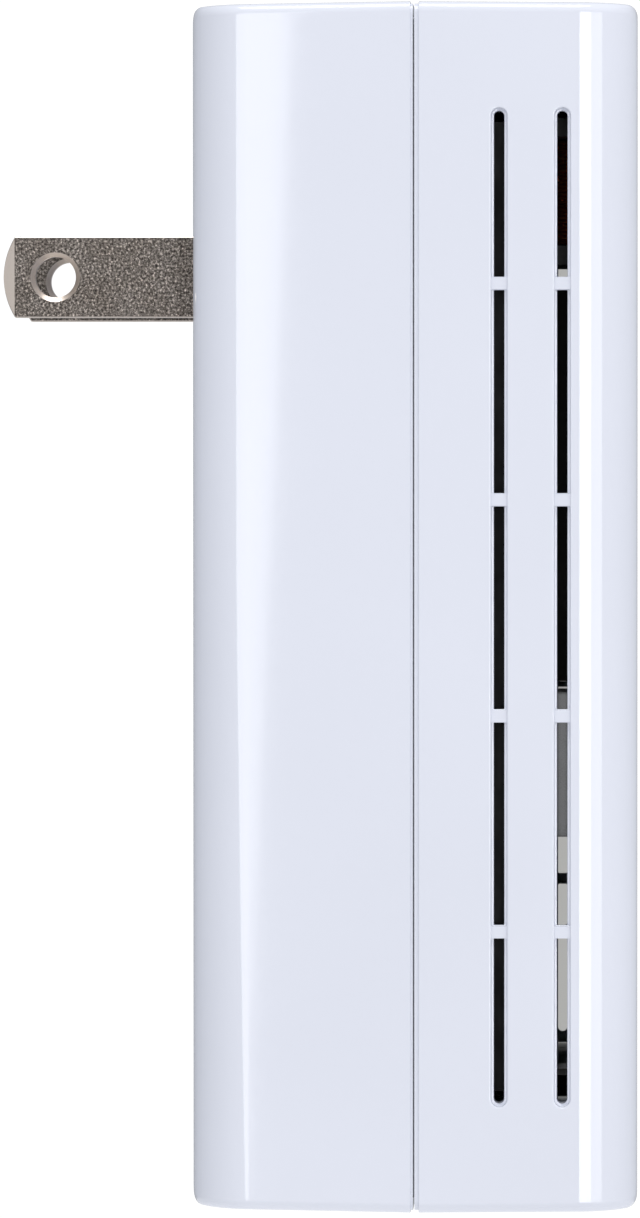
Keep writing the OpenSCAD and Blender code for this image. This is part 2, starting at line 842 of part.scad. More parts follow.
module crystal() color([0.80, 0.78, 0.72]) {
    facing_front(-18.6, 1, data_front_y) linear_extrude(1.1) rounded_rect(5, 3.2, 0.6);
}

// Signal coupling transformer: a drum core with a copper winding
coupling_at = [-17, 31.4];
coupling_len = 11.2;
coupling_w = 9;
coupling_h = 5;
coupling_flange = 1.5;
coupling_post_r = 1.15;

module coupling_core() color([0.10, 0.10, 0.10]) {
    facing_front(coupling_at[0], coupling_at[1], data_front_y) {
        for (s = [-1, 1])
            translate([0, s * (coupling_len - coupling_flange) / 2, 0])
                standing_box(coupling_w, coupling_flange, coupling_h);
        translate([0, coupling_len / 2 - play, coupling_h / 2]) rotate([90, 0, 0])
            cylinder(r = coupling_post_r, h = coupling_len - 2 * play);
    }
}

module coupling_winding() color([0.42, 0.16, 0.10]) {
    wound_r = 2.35;
    wound_len = coupling_len - 2 * coupling_flange - play;
    facing_front(coupling_at[0], coupling_at[1], data_front_y)
        translate([0, wound_len / 2, coupling_h / 2]) rotate([90, 0, 0]) difference() {
            cylinder(r = wound_r, h = wound_len);
            translate([0, 0, -past]) cylinder(r = coupling_post_r + 0.05, h = wound_len + 2 * past);
        }
}

module network_magnetics() color([0.13, 0.13, 0.14]) {
    facing_rear(0, -18, data_rear_y) legged_chip(15.6, 7, 5.4, 8, 1.8, 0.5, 1);
}

// ---------------------------------------------------------------- Ethernet jack

function port_peg_x() = 5.7;
function port_peg_z() = -36.4;
function port_peg_r() = 1.6;
function port_tab_x() = port_w / 2 - port_skin / 2;
function port_tab_z() = -40;

module port_shield() color([0.72, 0.73, 0.74]) {
    tab_half = 0.6;
    tab_reach = 2;
    rear_y = data_rear_y + port_h;
    top = port_low + port_len;
    lip = 0.5;
    difference() {
        block([-port_w / 2, data_rear_y, mid_z + port_low], [port_w / 2, rear_y, mid_z + top]);
        block([-port_w / 2 + port_skin, data_rear_y - past, mid_z + port_low + port_skin],
              [port_w / 2 - port_skin, rear_y - port_skin, mid_z + top - port_skin]);
        // mouth
        block([-port_w / 2 + port_skin + lip, data_rear_y - past, mid_z + port_low - past],
              [port_w / 2 - port_skin - lip, rear_y - port_skin - lip, mid_z + port_low + past]);
    }
    // tabs that are soldered into the board
    for (side = [0, 1]) mirror([side, 0, 0])
        block([port_w / 2 - port_skin, data_rear_y - tab_reach, mid_z + port_tab_z() - tab_half],
              [port_w / 2, data_rear_y + past, mid_z + port_tab_z() + tab_half]);
}

module port_housing() color([0.12, 0.12, 0.12]) {
    gap = 0.05;
    half_x = port_w / 2 - port_skin - gap;
    rear_y = data_rear_y + port_h - port_skin - gap;
    low = mid_z + port_low + port_skin + gap;
    top = mid_z + port_low + port_len - port_skin - gap;
    deep = mid_z + port_low + port_cavity_depth;
    latch_w = 6.2;
    latch_h = 1.6;
    key_w = 3.4;
    key_h = 1.2;
    comb_w = 8.6;
    comb_depth = 1.4;
    peg_reach = 1.9;
    difference() {
        block([-half_x, data_rear_y, low], [half_x, rear_y, top]);
        // cavity for the plug, its latch and the latch's key
        block([-port_cavity_w / 2, port_cavity_front_y, low - past],
              [port_cavity_w / 2, port_cavity_rear_y, deep]);
        block([-latch_w / 2, port_cavity_rear_y - past, low - past],
              [latch_w / 2, port_cavity_rear_y + latch_h, deep]);
        block([-key_w / 2, port_cavity_rear_y - past, low - past],
              [key_w / 2, port_cavity_rear_y + latch_h + key_h, deep]);
        // pocket that the spring contacts sit in
        block([-comb_w / 2, port_cavity_front_y - comb_depth, low + 1],
              [comb_w / 2, port_cavity_front_y + past, deep]);
    }
    for (s = [-1, 1])
        depth_rod(s * port_peg_x(), port_peg_z(), port_peg_r(), data_rear_y - peg_reach,
                  data_rear_y + past);
}

// Eight sprung wires that lean into the cavity from their root near the mouth
module port_contacts() color([0.88, 0.74, 0.36]) {
    wires = 8;
    wire_pitch = 1.02;
    wire_w = 0.46;
    wire_t = 0.3;
    wire_len = 7.6;
    lean = 24;
    hook_len = 1.4;
    hook_turn = 52;
    root_r = 0.32;
    for (i = [0 : wires - 1])
        translate([(i - (wires - 1) / 2) * wire_pitch, contact_pivot_y, mid_z + contact_pivot_z]) {
            translate([-wire_w / 2, 0, 0]) rotate([0, 90, 0]) cylinder(r = root_r, h = wire_w);
            rotate([-lean, 0, 0]) {
                translate([-wire_w / 2, -wire_t / 2, 0]) cube([wire_w, wire_t, wire_len]);
                translate([-wire_w / 2, 0, wire_len]) rotate([hook_turn, 0, 0])
                    translate([0, -wire_t / 2, -wire_t / 2]) cube([wire_w, wire_t, hook_len]);
            }
        }
}

// ---------------------------------------------------------------- lights and controls

module status_leds() color([0.95, 0.93, 0.70]) {
    for (z = led_column)
        facing_front(0, z, data_front_y) standing_box(1.6, 0.8, 0.6);
}

module light_pipe() color([0.90, 0.93, 0.95, 0.6]) {
    rod_r = 1;
    half_x = 1.6;
    spare_z = 1.9;
    rear_y = data_front_y - 0.8;
    block_front_y = front_inner_y + play;
    window_y = -body_d + 0.05;
    block([-half_x, block_front_y, mid_z + led_column[2] - spare_z],
          [half_x, rear_y, mid_z + led_column[0] + spare_z]);
    for (z = led_column) depth_rod(0, z, rod_r, window_y, block_front_y + play);
}

// Width and depth of the pair button's cap
function pair_size() = [6, 2.2];

// Inner face of the bottom wall at the depth of the controls
controls_lean = tan(front_draft) * (seam_y - control_y);
wall_in_z = -half_h + wall + controls_lean;

module pair_button() color([0.80, 0.82, 0.87]) {
    pair = pair_size();
    flange = [7.4, 3.3];
    flange_h = 0.45;
    face_z = -half_h + controls_lean - pair_proud;
    flange_z = wall_in_z + play;
    at(pair_x, face_z, control_y) linear_extrude(flange_z - face_z + play)
        rotate(90) stadium(pair[1], pair[0]);
    at(pair_x, flange_z, control_y) linear_extrude(flange_h) square(flange, center = true);
}

// The plunger's tip stands just above the button's flange
pair_tip_z = wall_in_z + play + 0.45 + 0.05;
pair_base_low = pair_tip_z + 0.9;
reset_tip_z = wall_in_z + 0.5;
reset_base_low = reset_tip_z + 0.6;
plunger_depth = 1.6;

module pair_switch_base() color([0.16, 0.16, 0.17]) {
    base = [6, 3.6, 3.2];
    hole = [3, 1.9];
    difference() {
        block([pair_x - base[0] / 2, data_front_y - base[1], mid_z + pair_base_low],
              [pair_x + base[0] / 2, data_front_y, mid_z + pair_base_low + base[2]]);
        block([pair_x - hole[0] / 2, control_y - hole[1] / 2, mid_z + pair_base_low - past],
              [pair_x + hole[0] / 2, control_y + hole[1] / 2,
               mid_z + pair_base_low + plunger_depth + pair_travel + play]);
    }
}

module pair_switch_plunger() color([0.82, 0.80, 0.74]) {
    half_x = 1.4;
    half_y = 0.85;
    block([pair_x - half_x, control_y - half_y, mid_z + pair_tip_z],
          [pair_x + half_x, control_y + half_y, mid_z + pair_base_low + plunger_depth]);
}

module reset_switch_base() color([0.16, 0.16, 0.17]) {
    base = [4.6, 3.5, 3];
    hole_r = 1;
    travel_room = 0.4;
    difference() {
        block([reset_x - base[0] / 2, data_front_y - base[1], mid_z + reset_base_low],
              [reset_x + base[0] / 2, data_front_y, mid_z + reset_base_low + base[2]]);
        at(reset_x, reset_base_low - past, control_y)
            cylinder(r = hole_r, h = past + plunger_depth + travel_room);
    }
}

module reset_switch_plunger() color([0.55, 0.16, 0.12]) {
    plunger_r = 0.94;
    at(reset_x, reset_tip_z, control_y)
        cylinder(r = plunger_r, h = reset_base_low - reset_tip_z + plunger_depth);
}

rear_cover();
front_cover();
cover_screws();
rating_label();
blade_left();
blade_right();
blade_carrier();
blade_contacts();
mains_board();
mains_board_screws();
fuse();
varistor();
line_capacitor();
choke_core();
choke_windings();
bridge_rectifier();
bulk_capacitors();
filter_inductor();
power_controller();
transformer_core();
transformer_winding();
optocoupler();
output_diode();
output_capacitors();
disc_capacitor();
board_header();
header_pins();
insulator_film();
data_board();
data_board_screws();
modem_chip();
thermal_pad();
heat_sink();
memory_chip();
flash_chip();
crystal();
coupling_core();
coupling_winding();
network_magnetics();
port_shield();
port_housing();
port_contacts();
status_leds();
light_pipe();
pair_button();
pair_switch_base();
pair_switch_plunger();
reset_switch_base();
reset_switch_plunger();
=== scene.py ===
"""Powerline adapter: the looks of a two-shell wall-plug housing, its plug, boards and jack.

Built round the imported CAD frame. X runs side to side, the front face looks toward -Y, the
wall side toward +Y, Z is up, and every length is in metres.
"""

import json
from math import atan, cos, pi, radians, sin, sqrt, tan

import bmesh
import bpy
from bpy.props import FloatProperty, FloatVectorProperty, PointerProperty
from mathutils import Matrix, Vector


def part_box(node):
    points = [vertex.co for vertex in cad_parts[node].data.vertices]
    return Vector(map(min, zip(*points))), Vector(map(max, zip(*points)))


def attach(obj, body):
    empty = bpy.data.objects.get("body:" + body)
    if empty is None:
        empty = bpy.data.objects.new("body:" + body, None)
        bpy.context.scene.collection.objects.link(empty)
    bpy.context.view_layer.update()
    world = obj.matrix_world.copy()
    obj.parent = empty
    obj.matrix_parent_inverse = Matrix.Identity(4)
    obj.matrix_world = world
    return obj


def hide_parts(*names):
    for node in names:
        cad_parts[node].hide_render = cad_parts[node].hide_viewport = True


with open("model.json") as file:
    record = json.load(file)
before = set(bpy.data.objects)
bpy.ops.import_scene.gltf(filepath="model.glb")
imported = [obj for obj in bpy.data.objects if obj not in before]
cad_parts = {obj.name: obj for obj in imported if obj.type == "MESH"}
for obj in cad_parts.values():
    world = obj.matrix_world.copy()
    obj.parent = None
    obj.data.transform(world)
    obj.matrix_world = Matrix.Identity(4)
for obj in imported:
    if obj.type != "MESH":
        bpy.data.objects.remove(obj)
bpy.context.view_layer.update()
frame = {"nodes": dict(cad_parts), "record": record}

bl_info = {
    "name": "Powerline Adapter",
    "version": (1, 0, 0),
    "blender": (4, 5, 0),
    "location": "View3D > Sidebar > Adapter",
    "description": "Builds the adapter's covers, plug, boards and jack round its CAD frame",
    "category": "Object",
}

MM = 0.001
NODES = frame["nodes"]
SLOT_OF = {part["node"]: part["material_slot"] for part in frame["record"]["subparts"]}
BODY_OF = {
    node: body
    for body, members in frame["record"]["behaviour"]["bodies"].items()
    for node in members
}

# ------------------------------------------------------------ places read from the frame

REAR_LOW, REAR_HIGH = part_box("rear_cover")
FRONT_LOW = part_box("front_cover")[0]
HALF_W = REAR_HIGH.x
HALF_H = (REAR_HIGH.z - REAR_LOW.z) / 2
MID_Z = (REAR_HIGH.z + REAR_LOW.z) / 2
DEPTH = -FRONT_LOW.y
SEAM_Y = -DEPTH / 2

SCREWS_LOW, SCREWS_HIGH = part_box("cover_screws")
SCREW_HEAD_R = 2.4 * MM
SCREW_X = SCREWS_HIGH.x - SCREW_HEAD_R
SCREW_Z = SCREWS_HIGH.z - SCREW_HEAD_R - MID_Z
SCREW_SEAT_Y = SCREWS_HIGH.y - 1.8 * MM
SCREW_TIP_Y = SCREWS_LOW.y
REAR_POST_R, FRONT_POST_R = 3.4 * MM, 2.7 * MM
SCREW_WELL_R = 2.6 * MM
REAR_BORE_R, FRONT_BORE_R = 1.5 * MM, 1.3 * MM

BLADE_LOW, BLADE_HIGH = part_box("blade_right")
BLADE_T = BLADE_HIGH.x - BLADE_LOW.x
BLADE_W = BLADE_HIGH.z - BLADE_LOW.z
BLADE_X = (BLADE_HIGH.x + BLADE_LOW.x) / 2
BLADE_HOLE_Y = 11.9 * MM

LABEL_LOW, LABEL_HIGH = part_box("rating_label")
SHIELD_LOW, SHIELD_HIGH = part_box("port_shield")
BUTTON_LOW, BUTTON_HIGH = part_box("pair_button")
PIN_LOW, PIN_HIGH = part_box("reset_switch_plunger")
LEDS_LOW, LEDS_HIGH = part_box("status_leds")
DATA_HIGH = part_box("data_board")[1]


# ------------------------------------------------------------ settings


class AdapterShellSettings(bpy.types.PropertyGroup):
    """Sizes and colour of the two covers"""

    wall: FloatProperty(
        name="Wall", description="Thickness of both covers",
        default=2 * MM, min=1.5 * MM, max=2.5 * MM, unit="LENGTH", precision=5)
    upright_radius: FloatProperty(
        name="Upright edges", description="Radius of the four upright edges",
        default=4.5 * MM, min=3 * MM, max=6 * MM, unit="LENGTH", precision=5)
    end_radius: FloatProperty(
        name="End edges", description="Radius of the edges round the top and bottom",
        default=0.8 * MM, min=0.4 * MM, max=1.5 * MM, unit="LENGTH", precision=5)
    rear_draft: FloatProperty(
        name="Rear draft", description="Mould draft of the rear cover",
        default=radians(0.85), min=0, max=radians(2), subtype="ANGLE")
    front_draft: FloatProperty(
        name="Front draft", description="Mould draft of the front cover",
        default=radians(0.45), min=0, max=radians(2), subtype="ANGLE")
    seam_gap: FloatProperty(
        name="Seam gap", description="Gap between the two covers",
        default=0.12 * MM, min=0.05 * MM, max=0.4 * MM, unit="LENGTH", precision=5)
    groove_front: FloatProperty(
        name="Groove, front", description="Width of the shadow groove in the front cover",
        default=0.38 * MM, min=0.1 * MM, max=0.8 * MM, unit="LENGTH", precision=5)
    groove_rear: FloatProperty(
        name="Groove, rear", description="Width of the shadow groove in the rear cover",
        default=0.24 * MM, min=0.1 * MM, max=0.8 * MM, unit="LENGTH", precision=5)
    groove_depth: FloatProperty(
        name="Groove depth", description="Depth of the shadow groove",
        default=0.17 * MM, min=0.05 * MM, max=0.5 * MM, unit="LENGTH", precision=5)
    colour: FloatVectorProperty(
        name="Shell colour", description="Colour of the moulded plastic",
        default=(0.72, 0.745, 0.82), min=0, max=1, size=3, subtype="COLOR")


class AdapterVentSettings(bpy.types.PropertyGroup):
    """Sizes of the vent slots"""

    length: FloatProperty(
        name="Column length", description="Length of each column of vent slots",
        default=74.8 * MM, min=60 * MM, max=80 * MM, unit="LENGTH", precision=5)
    width: FloatProperty(
        name="Slot width", description="Width of a slot at the outer face",
        default=1.2 * MM, min=0.8 * MM, max=2 * MM, unit="LENGTH", precision=5)
    throat: FloatProperty(
        name="Throat width", description="Width of a slot at the inner face",
        default=0.78 * MM, min=0.5 * MM, max=1.2 * MM, unit="LENGTH", precision=5)
    front_in: FloatProperty(
        name="Front column", description="Front face to the front column of slots",
        default=5.67 * MM, min=5 * MM, max=8 * MM, unit="LENGTH", precision=5)
    pitch: FloatProperty(
        name="Column pitch", description="Distance between the two columns",
        default=4.73 * MM, min=3 * MM, max=6 * MM, unit="LENGTH", precision=5)
    bar: FloatProperty(
        name="Bar", description="Thickness of the bars that divide a column",
        default=0.9 * MM, min=0.5 * MM, max=1.5 * MM, unit="LENGTH", precision=5)
    rim: FloatProperty(
        name="Rim radius", description="Radius of the rounded rim of each slot",
        default=0.11 * MM, min=0.03 * MM, max=0.3 * MM, unit="LENGTH", precision=5)


class AdapterPlugSettings(bpy.types.PropertyGroup):
    """Sizes and colour of the blades"""

    hole: FloatProperty(
        name="Blade hole", description="Diameter of the hole through a blade",
        default=3.2 * MM, min=2.8 * MM, max=3.6 * MM, unit="LENGTH", precision=5)
    sink: FloatProperty(
        name="Countersink", description="Depth of the countersink round the hole",
        default=0.3 * MM, min=0.05 * MM, max=0.5 * MM, unit="LENGTH", precision=5)
    edge: FloatProperty(
        name="Edge", description="Radius of the blade's long edges",
        default=0.14 * MM, min=0.05 * MM, max=0.4 * MM, unit="LENGTH", precision=5)
    tip_radius: FloatProperty(
        name="Tip arch", description="Radius of the blade's arched end",
        default=5.83 * MM, min=3.5 * MM, max=9 * MM, unit="LENGTH", precision=5)
    # set much darker than nickel: painted shade for the dark room that the blade flats reflect
    colour: FloatVectorProperty(
        name="Nickel colour", description="Colour of the nickel plating",
        default=(0.155, 0.138, 0.124), min=0, max=1, size=3, subtype="COLOR")


class AdapterStudioSettings(bpy.types.PropertyGroup):
    """Camera, lights and floor"""

    lens: FloatProperty(
        name="Lens", description="Focal length of the camera, in millimetres",
        default=160.2, min=50, max=300)
    camera_x: FloatProperty(
        name="Camera distance", description="How far the camera stands off to the side",
        default=432 * MM, min=0.2, max=2, unit="LENGTH", precision=4)
    camera_y: FloatProperty(
        name="Camera depth", description="Camera's place along the body's depth",
        default=-28.35 * MM, unit="LENGTH", precision=4)
    camera_z: FloatProperty(
        name="Camera height", description="Camera's height above the plug's centre",
        default=-13.8 * MM, unit="LENGTH", precision=4)
    aside: FloatProperty(
        name="Framing, across", description="How far the body stands to the side in the frame",
        default=0.2036, min=-0.5, max=0.5)
    below: FloatProperty(
        name="Framing, down",
        description="How far the plug's centre stands above the frame's middle",
        default=0.1281, min=-0.5, max=0.5)
    floor_drop: FloatProperty(
        name="Floor drop", description="Height of the body above the floor",
        default=0.9, min=0, max=3, unit="LENGTH", precision=4)
    sky: FloatProperty(
        name="Room light", description="Strength of the light from the room",
        default=1.13, min=0, max=4)
    floor_size: FloatProperty(
        name="Floor size", description="Width of the floor",
        default=7.0, min=0.5, max=20, unit="LENGTH")


def settings():
    """The four groups of settings of the current scene."""
    scene = bpy.context.scene
    return (scene.adapter_shell, scene.adapter_vents, scene.adapter_plug, scene.adapter_studio)


# ------------------------------------------------------------ mesh tools


def arc(start, stop, steps):
    """Angles in radians from start to stop degrees, both ends in."""
    return [radians(start + (stop - start) * i / steps) for i in range(steps + 1)]


def new_object(name, bm, smooth=35):
    """A mesh object from a bmesh, smooth except at edges sharper than the angle."""
    bmesh.ops.recalc_face_normals(bm, faces=bm.faces)
    mesh = bpy.data.meshes.new(name)
    bm.to_mesh(mesh)
    bm.free()
    mesh.polygons.foreach_set("use_smooth", [True] * len(mesh.polygons))
    mesh.set_sharp_from_angle(angle=radians(smooth))
    obj = bpy.data.objects.new(name, mesh)
    bpy.context.scene.collection.objects.link(obj)
    return obj


def add_loft(bm, rings):
    """Joins closed loops of points, all of one length, into a skin with capped ends."""
    loops = [[bm.verts.new(p) for p in ring] for ring in rings]
    for a, b in zip(loops, loops[1:]):
        for i in range(len(a)):
            j = (i + 1) % len(a)
            bm.faces.new((a[i], a[j], b[j], b[i]))
    bm.faces.new(loops[0])
    bm.faces.new(loops[-1])


def place_at(origin, u, v, out):
    """Turns (u, v, height) on a face into a point of the frame."""
    origin, u, v, out = Vector(origin), Vector(u), Vector(v), Vector(out)
    return lambda a, b, h: origin + u * a + v * b + out * h


def add_prism(bm, outline, levels, put):
    """Stacks an outline, grown by each level's amount, at each level's height."""
    add_loft(bm, [[put(a, b, h) for a, b in outline(grow)] for h, grow in levels])


def disc(radius, steps=40):
    """Outline of a circle."""
    return lambda grow: [
        ((radius + grow) * cos(a), (radius + grow) * sin(a))
        for a in arc(0, 360 - 360 / steps, steps - 1)
    ]


def rounded(width, height, radius, steps=6):
    """Outline of a rectangle with round corners."""

    def outline(grow):
        r = max(radius + grow, 0.02 * MM)
        half_a, half_b = width / 2 + grow - r, height / 2 + grow - r
        return [
            (sa * half_a + r * cos(t), sb * half_b + r * sin(t))
            for sa, sb, start in ((1, 1, 0), (-1, 1, 90), (-1, -1, 180), (1, -1, 270))
            for t in arc(start, start + 90, steps)
        ]

    return outline


def cell(width, low, high, low_r, high_r):
    """Outline of one vent opening from low to high, with its own radius at each end."""

    def outline(grow):
        points = []
        for side, end, sign, r0 in ((1, high, 1, high_r), (-1, high, 1, high_r),
                                    (-1, low, -1, low_r), (1, low, -1, low_r)):
            r = min(r0, width / 2) + grow
            start = {(1, 1): 0, (-1, 1): 90, (-1, -1): 180, (1, -1): 270}[(side, sign)]
            for t in arc(start, start + 90, 10):
                points.append((side * (width / 2 + grow - r) + r * cos(t),
                               end + sign * (grow - r) + r * sin(t)))
        return points

    return outline


def rim_levels(depth, radius):
    """Levels of a cut with a rounded rim: from above the face down to the depth."""
    above = 0.5 * MM
    curve = [(-radius * (1 - cos(t)), radius * (1 - sin(t))) for t in arc(0, 90, 4)]
    return [(above, radius)] + curve + [(-depth, 0)]


def add_turned(bm, profile, put, steps=40):
    """Turns a profile of (radius, height) points round the height axis, ends closed."""
    add_loft(bm, [[put(r * cos(t), r * sin(t), h) for t in arc(0, 360 - 360 / steps, steps - 1)]
                  for r, h in profile])


def add_tube(bm, path, radius, sides=8):
    """A round wire along a path of points."""
    rings = []
    side = None
    for i, p in enumerate(path):
        way = path[min(i + 1, len(path) - 1)] - path[max(i - 1, 0)]
        way.normalize()
        if side is None:
            side = way.orthogonal().normalized()
        side = (side - way * side.dot(way)).normalized()
        other = way.cross(side)
        rings.append([p + (side * cos(t) + other * sin(t)) * radius
                      for t in arc(0, 360 - 360 / sides, sides - 1)])
    add_loft(bm, rings)


def apply_boolean(target, bm, operation):
    """Cuts or joins the tool in bm, and leaves the result in the target's mesh."""
    tool = new_object("tool", bm)
    cut = target.modifiers.new("cut", "BOOLEAN")
    cut.operation, cut.object, cut.solver = operation, tool, "MANIFOLD"
    bpy.context.view_layer.update()
    graph = bpy.context.evaluated_depsgraph_get()
    result = bpy.data.meshes.new_from_object(target.evaluated_get(graph))
    if len(result.polygons) < 6:
        raise RuntimeError(f"{target.name}: the {operation.lower()} left nothing")
    target.modifiers.clear()
    old, target.data = target.data, result
    bpy.data.meshes.remove(old)
    bpy.data.objects.remove(tool)


def even_normals(obj, smooth=35):
    """Flat faces shade flat right up to their rounded edges."""
    obj.data.polygons.foreach_set("use_smooth", [True] * len(obj.data.polygons))
    obj.data.set_sharp_from_angle(angle=radians(smooth))
    weighted = obj.modifiers.new("even", "WEIGHTED_NORMAL")
    weighted.keep_sharp, weighted.weight = True, 100


def fit(obj, node):
    """Gives a new piece its finish, and lets it stand for its CAD node."""
    slot = SLOT_OF[node]
    obj.data.materials.clear()
    obj.data.materials.append(finish(slot))
    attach(obj, BODY_OF[node])
    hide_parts(node)
    return obj


def soften(node):
    """Keeps a CAD node's shape, gives it its finish and eases its edges."""
    obj = NODES[node]
    obj.data.materials.clear()
    obj.data.materials.append(finish(SLOT_OF[node]))
    obj.data.polygons.foreach_set("material_index", [0] * len(obj.data.polygons))
    obj.data.polygons.foreach_set("use_smooth", [True] * len(obj.data.polygons))
    weld = obj.modifiers.new("weld", "WELD")
    weld.merge_threshold = 1e-6
    flat = obj.modifiers.new("flat", "DECIMATE")
    flat.decimate_type, flat.angle_limit = "DISSOLVE", radians(0.6)
    ease = obj.modifiers.new("ease", "BEVEL")
    ease.width, ease.segments, ease.limit_method = 0.06 * MM, 2, "ANGLE"
    ease.angle_limit = radians(35)
    ease.harden_normals = False
    even = obj.modifiers.new("even", "WEIGHTED_NORMAL")
    even.weight = 80
    return obj


# ------------------------------------------------------------ finishes


def srgb(r, g, b):
    """Display colour, 0 to 255, as the linear values that a shader takes."""
    return tuple(((c / 255 + 0.055) / 1.055) ** 2.4 if c > 10 else c / 255 / 12.92
                 for c in (r, g, b))


def shader(name):
    """A new node material with its shader, its node tree and its object coordinates."""
    material = bpy.data.materials.new(name)
    material.use_nodes = True
    tree = material.node_tree
    surface = tree.nodes["Principled BSDF"]
    place = tree.nodes.new("ShaderNodeTexCoord").outputs["Object"]
    return material, tree, surface, place


def add_noise(tree, place, scale, detail=3.0, roughness=0.55, stretch=None):
    """Noise at that many cycles a metre, drawn out along an axis by stretch."""
    if stretch:
        mapping = tree.nodes.new("ShaderNodeMapping")
        mapping.inputs["Scale"].default_value = stretch
        tree.links.new(place, mapping.inputs["Vector"])
        place = mapping.outputs["Vector"]
    noise = tree.nodes.new("ShaderNodeTexNoise")
    noise.inputs["Scale"].default_value = scale
    noise.inputs["Detail"].default_value = detail
    noise.inputs["Roughness"].default_value = roughness
    tree.links.new(place, noise.inputs["Vector"])
    return noise.outputs["Fac"]


def add_ramp(tree, value, stops):
    """Colours along a value, as (place, colour) stops."""
    ramp = tree.nodes.new("ShaderNodeValToRGB")
    band = ramp.color_ramp
    band.interpolation = "LINEAR"
    while len(band.elements) < len(stops):
        band.elements.new(0.5)
    for element, (at, colour) in zip(band.elements, stops):
        element.position, element.color = at, (*colour, 1)
    tree.links.new(value, ramp.inputs["Fac"])
    return ramp.outputs["Color"]


def add_range(tree, value, low, high, start=0.3, stop=0.7):
    """Maps a value from start..stop onto low..high."""
    node = tree.nodes.new("ShaderNodeMapRange")
    for name, number in (("From Min", start), ("From Max", stop),
                         ("To Min", low), ("To Max", high)):
        node.inputs[name].default_value = number
    tree.links.new(value, node.inputs["Value"])
    return node.outputs["Result"]


def add_bump(tree, height, strength, distance, normal=None):
    """Bump from a height value, on top of an earlier normal."""
    node = tree.nodes.new("ShaderNodeBump")
    node.inputs["Strength"].default_value = strength
    node.inputs["Distance"].default_value = distance
    tree.links.new(height, node.inputs["Height"])
    if normal:
        tree.links.new(normal, node.inputs["Normal"])
    return node.outputs["Normal"]


def shade(colour, amount):
    """A colour made lighter or darker by a share."""
    return tuple(min(1.0, c * (1 + amount)) for c in colour)


def moulded(name, colour, rough=(0.25, 0.35), mottle=0.04, grain=2500, bump=0.15,
            metallic=0.0, patch=250, depth=0.01 * MM, coat=0.0, ior=1.5, stretch=None):
    """A finish with faint patches, a fine grain and a roughness that varies."""
    material, tree, surface, place = shader(name)
    patches = add_noise(tree, place, patch, 2.0)
    tree.links.new(
        add_ramp(tree, patches, [(0.3, shade(colour, -mottle)), (0.7, shade(colour, mottle))]),
        surface.inputs["Base Color"])
    fine = add_noise(tree, place, grain, 3.0, 0.6, stretch)
    tree.links.new(add_range(tree, fine, *rough), surface.inputs["Roughness"])
    tree.links.new(add_bump(tree, fine, bump, depth), surface.inputs["Normal"])
    surface.inputs["Metallic"].default_value = metallic
    surface.inputs["IOR"].default_value = ior
    surface.inputs["Coat Weight"].default_value = coat
    return material


def gloss_shell(name):
    """High-gloss moulded plastic, with the faint waviness of a moulding."""
    shell = settings()[0]
    colour = tuple(shell.colour)
    material, tree, surface, place = shader(name)
    patches = add_noise(tree, place, 40, 2.0)
    tree.links.new(
        add_ramp(tree, patches, [(0.3, shade(colour, -0.012)), (0.7, shade(colour, 0.012))]),
        surface.inputs["Base Color"])
    fine = add_noise(tree, place, 1800, 2.0)
    tree.links.new(add_range(tree, fine, 0.03, 0.05), surface.inputs["Roughness"])
    wave = add_noise(tree, place, 55, 1.0)
    tree.links.new(add_bump(tree, wave, 0.06, 0.05 * MM), surface.inputs["Normal"])
    surface.inputs["IOR"].default_value = 1.5
    return material


def nickel(name):
    """Nickel plating of rolled and tumbled metal, with painted sparkle: bright and dark specks in
    its colour stand in for glints and dark facets, and its bevels carry a painted highlight.
    """
    colour = tuple(settings()[2].colour)
    material, tree, surface, place = shader(name)
    speck = add_noise(tree, place, 5200, 4.0, 0.75)
    cloud = add_noise(tree, place, 420, 3.0)
    # painted glints and dark facets: the speck noise spreads the colour from 0.15 to 4.2 times the
    # base
    painted_glints = add_ramp(tree, speck, [(0.38, shade(colour, -0.85)), (0.50, shade(colour, -0.3)),
                                    (0.58, shade(colour, 0.4)), (0.67, shade(colour, 3.2))])
    tint = add_ramp(tree, cloud, [(0.35, (0.80, 0.78, 0.76)), (0.65, (1.0, 1.0, 1.0))])
    mix = tree.nodes.new("ShaderNodeMix")
    mix.data_type, mix.blend_type = "RGBA", "MULTIPLY"
    mix.inputs["Factor"].default_value = 1.0
    tree.links.new(painted_glints, mix.inputs[6])
    tree.links.new(tint, mix.inputs[7])
    # the speck colours lie on the rolled flats; the bevels, edges and countersink, picked by their
    # facing direction, take 3.2 times the base colour, a painted highlight
    split = tree.nodes.new("ShaderNodeSeparateXYZ")
    tree.links.new(tree.nodes["Texture Coordinate"].outputs["Normal"], split.inputs["Vector"])
    size = tree.nodes.new("ShaderNodeMath")
    size.operation = "ABSOLUTE"
    tree.links.new(split.outputs["X"], size.inputs[0])
    flat = tree.nodes.new("ShaderNodeMix")
    flat.data_type = "RGBA"
    tree.links.new(add_range(tree, size.outputs[0], 0, 1, 0.93, 0.99), flat.inputs["Factor"])
    flat.inputs[6].default_value = (*shade(colour, 2.2), 1)
    tree.links.new(mix.outputs[2], flat.inputs[7])
    tree.links.new(flat.outputs[2], surface.inputs["Base Color"])
    surface.inputs["Metallic"].default_value = 1.0
    tree.links.new(add_range(tree, speck, 0.42, 0.26), surface.inputs["Roughness"])
    coarse = add_bump(tree, cloud, 0.15, 0.03 * MM)
    tree.links.new(add_bump(tree, speck, 0.45, 0.012 * MM, coarse), surface.inputs["Normal"])
    return material


